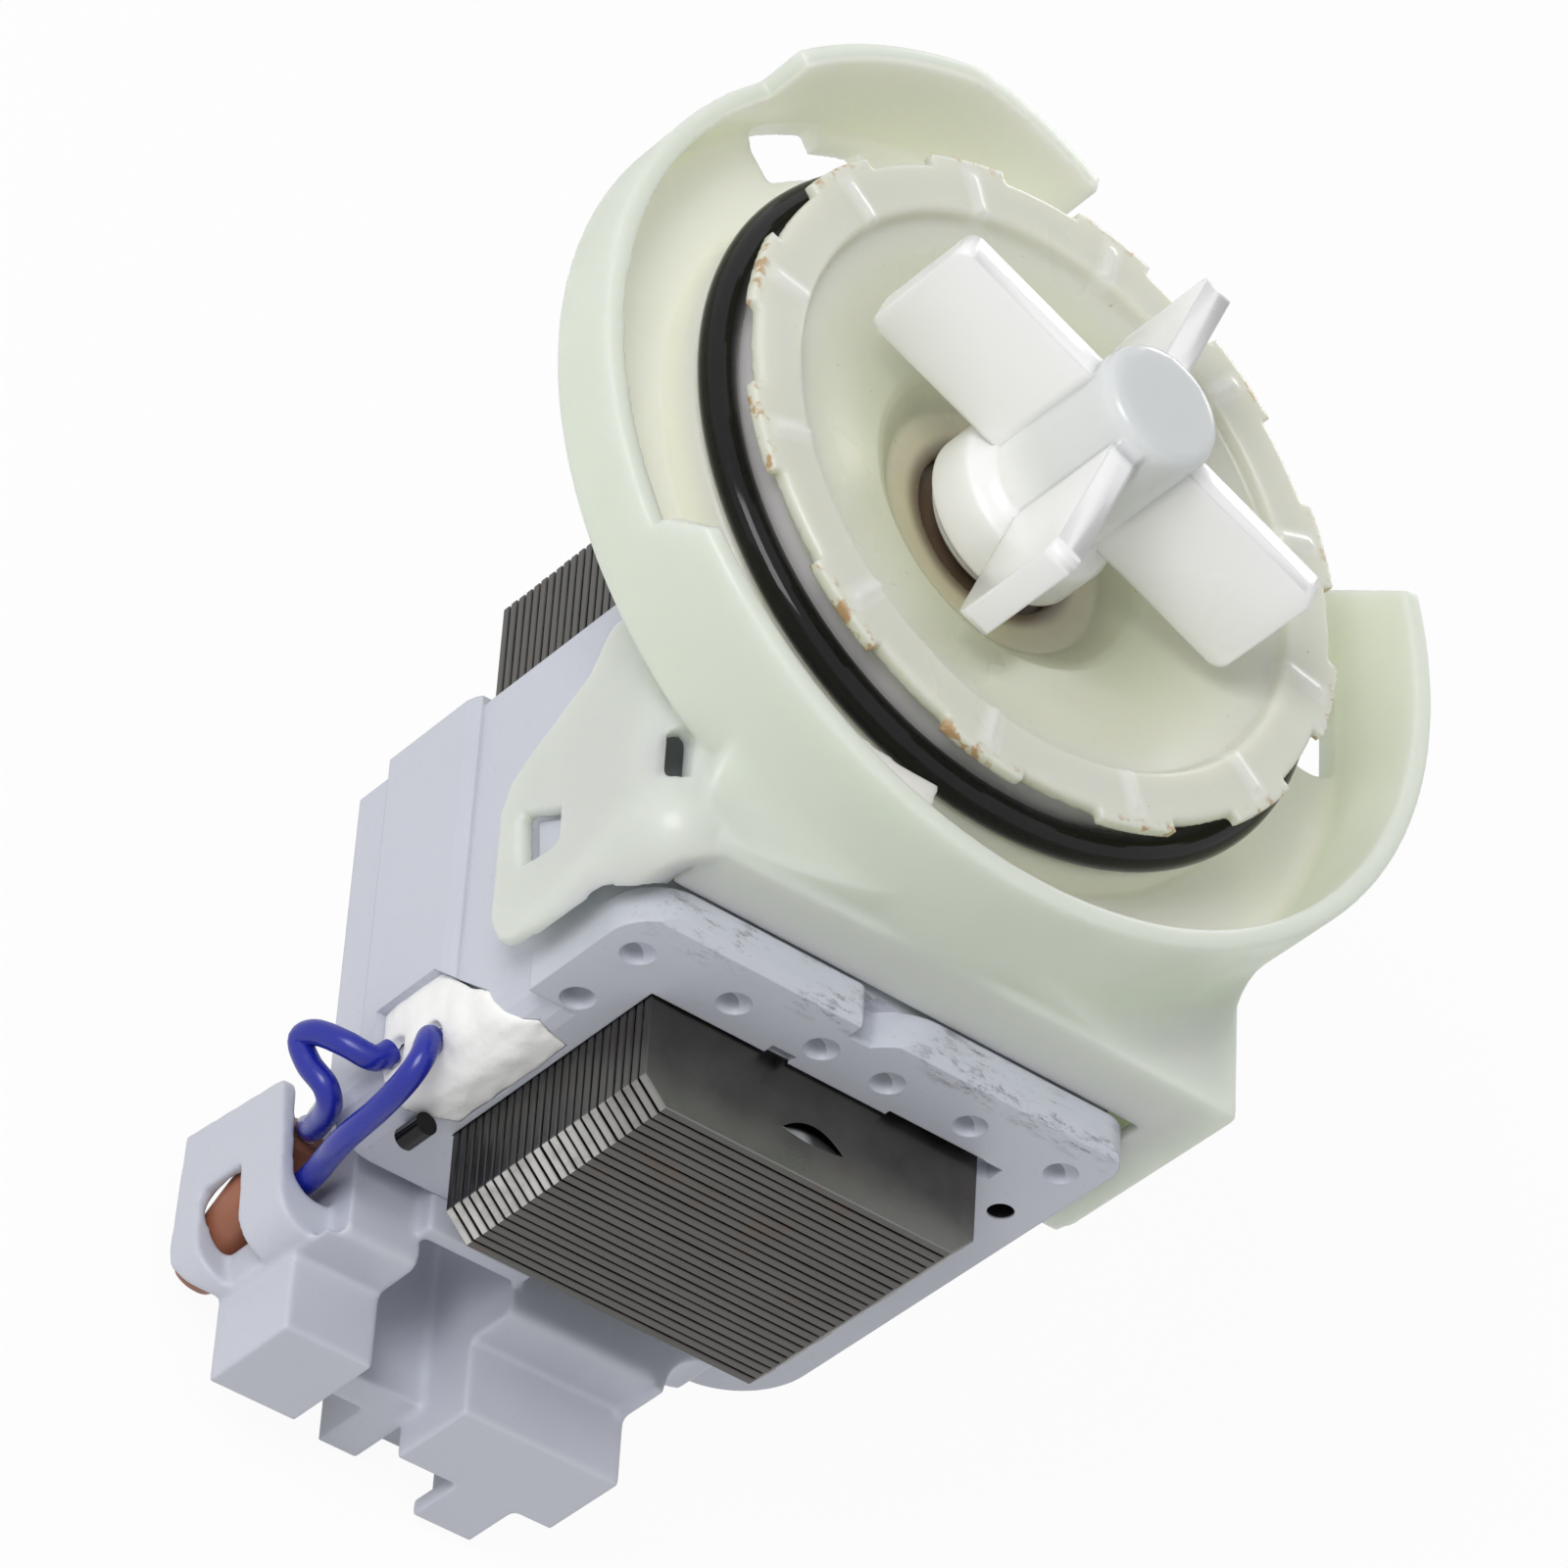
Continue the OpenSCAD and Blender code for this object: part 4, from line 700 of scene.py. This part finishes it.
def make_core():
    """The stack in place of the core, drawn in a hair so that slipped sheets stay in its box."""
    narrow = 1 - SHEET_SLIP / HALF_W
    short = 1 - 2 * SHEET_SLIP / (LEG_END - CORE_LOW)
    middle = (LEG_END + CORE_LOW) / 2
    points = [(x * narrow * MM, (middle + (y - middle) * short) * MM, 0) for x, y in sheet_outline()]
    mesh = bpy.data.meshes.new("core outline")
    mesh.from_pydata(points, [], [tuple(range(len(points)))])
    core = add_object("core_sheets", mesh, finishes["core_steel"])
    sheet_recipe().run(core, Count=SHEETS, Pitch=SHEET_PITCH * MM, Thickness=SHEET_THICK * MM,
                       Slip=SHEET_SLIP * MM, Seed=SLIP_SEED)
    edge = core.modifiers.new("pressed edge", "BEVEL")
    edge.width = 0.14 * MM
    edge.segments = 2
    edge.limit_method = "ANGLE"
    edge.angle_limit = math.radians(40)
    bake_modifiers(core)
    cutter = clinch_cutter()
    press = core.modifiers.new("clinch", "BOOLEAN")
    press.operation = "DIFFERENCE"
    press.solver = "EXACT"
    press.object = cutter
    bake_modifiers(core)
    bpy.data.objects.remove(cutter)
    core.data.name = "core_sheets"
    stand_in(core, "stator", "stator_core")


# ---- leads ----

LEAD_ROUTES = {
    "lead_in": [(-23.4, -39.6, -44.4), (-24.6, -40.6, -44.9), (-26.8, -39.8, -45.8),
                (-28.2, -38.4, -47.8), (-28.4, -38.2, -49.6), (-27.6, -40.2, -49.4),
                (-26.2, -42, -48.8), (-24.8, -42.6, -50.2), (-23.1, -41.3, -54.4),
                (-21.35, -38.9, -57.9), (-20.6, -37.6, -59.5)],
    "lead_out": [(-23, -40.6, -39.8), (-23.6, -41.8, -39.2), (-24, -43.4, -39.2),
                 (-24.2, -44.8, -40.8), (-24, -45.4, -44.6), (-23.4, -45.2, -50),
                 (-21.3, -43.8, -57), (-21, -43.7, -60.2), (-20.5, -43.7, -62.2),
                 (-19.7, -43.7, -62.9)],
}


def lead_recipe():
    """Sweeps a circle along a smooth curve through the route's points."""
    recipe = Recipe("swept lead", Radius="Float", Steps="Int", Sides="Int")
    given = recipe.start.outputs
    line = recipe.node("GeometryNodeMeshToCurve", {"Mesh": given["Geometry"]})
    smooth = recipe.node("GeometryNodeCurveSplineType", {"Curve": line.outputs[0]},
                         spline_type="CATMULL_ROM")
    fine = recipe.node("GeometryNodeSetSplineResolution", {"Geometry": smooth.outputs[0]},
                       {"Resolution": 16})
    even = recipe.node("GeometryNodeResampleCurve",
                       {"Curve": fine.outputs[0], "Count": given["Steps"]})
    circle = recipe.node("GeometryNodeCurvePrimitiveCircle",
                         {"Resolution": given["Sides"], "Radius": given["Radius"]})
    tube = recipe.node("GeometryNodeCurveToMesh",
                       {"Curve": even.outputs[0], "Profile Curve": circle.outputs[0]},
                       {"Fill Caps": True})
    soft = recipe.node("GeometryNodeSetShadeSmooth", {"Geometry": tube.outputs[0]})
    recipe.finish(soft.outputs[0], finishes["lead_blue"])
    return recipe


def make_leads():
    recipe = lead_recipe()
    for node, route in LEAD_ROUTES.items():
        mesh = bpy.data.meshes.new(node + "_route")
        mesh.from_pydata([[c * MM for c in point] for point in route],
                         [(i, i + 1) for i in range(len(route) - 1)], [])
        lead = add_object(node + "_insulation", mesh, finishes["lead_blue"])
        recipe.run(lead, Radius=LEAD_R * MM, Steps=90, Sides=20)
        bake_modifiers(lead)
        stand_in(lead, "stator", node)


# ---- main ----

place_camera()
light_the_room()
lay_floor()
add_softbox("key softbox", spot=(-0.66, -0.20, 0.62), aim=(0, 0, -0.02), size=(0.42, 0.42), power=4.4)
add_softbox("back softbox", spot=(0.50, 0.78, 0.10), aim=(0, 0, 0), size=(0.4, 0.4), power=1.8)

make_core()
make_leads()
soften("terminal_carrier", "terminal_block", "stator", "housing_grey",
       voxel_mm=0.28, rounds=5, keep=0.6)
soften("front_bracket", "bracket_shell", "stator", "bracket_green",
       voxel_mm=0.3, rounds=5, keep=0.28)
soften("chamber_cover", "cover_disc", "stator", "cover_milky",
       voxel_mm=0.25, rounds=3, keep=0.55)
crisp("impeller", "impeller_wheel", "impeller", "impeller_white")
crisp("seal_o_ring", "o_ring", "stator", "rubber_black")
soften("potting", "sealant_blob", "stator", "sealant_white",
       voxel_mm=0.2, rounds=8, keep=1.0, lumpy=True)
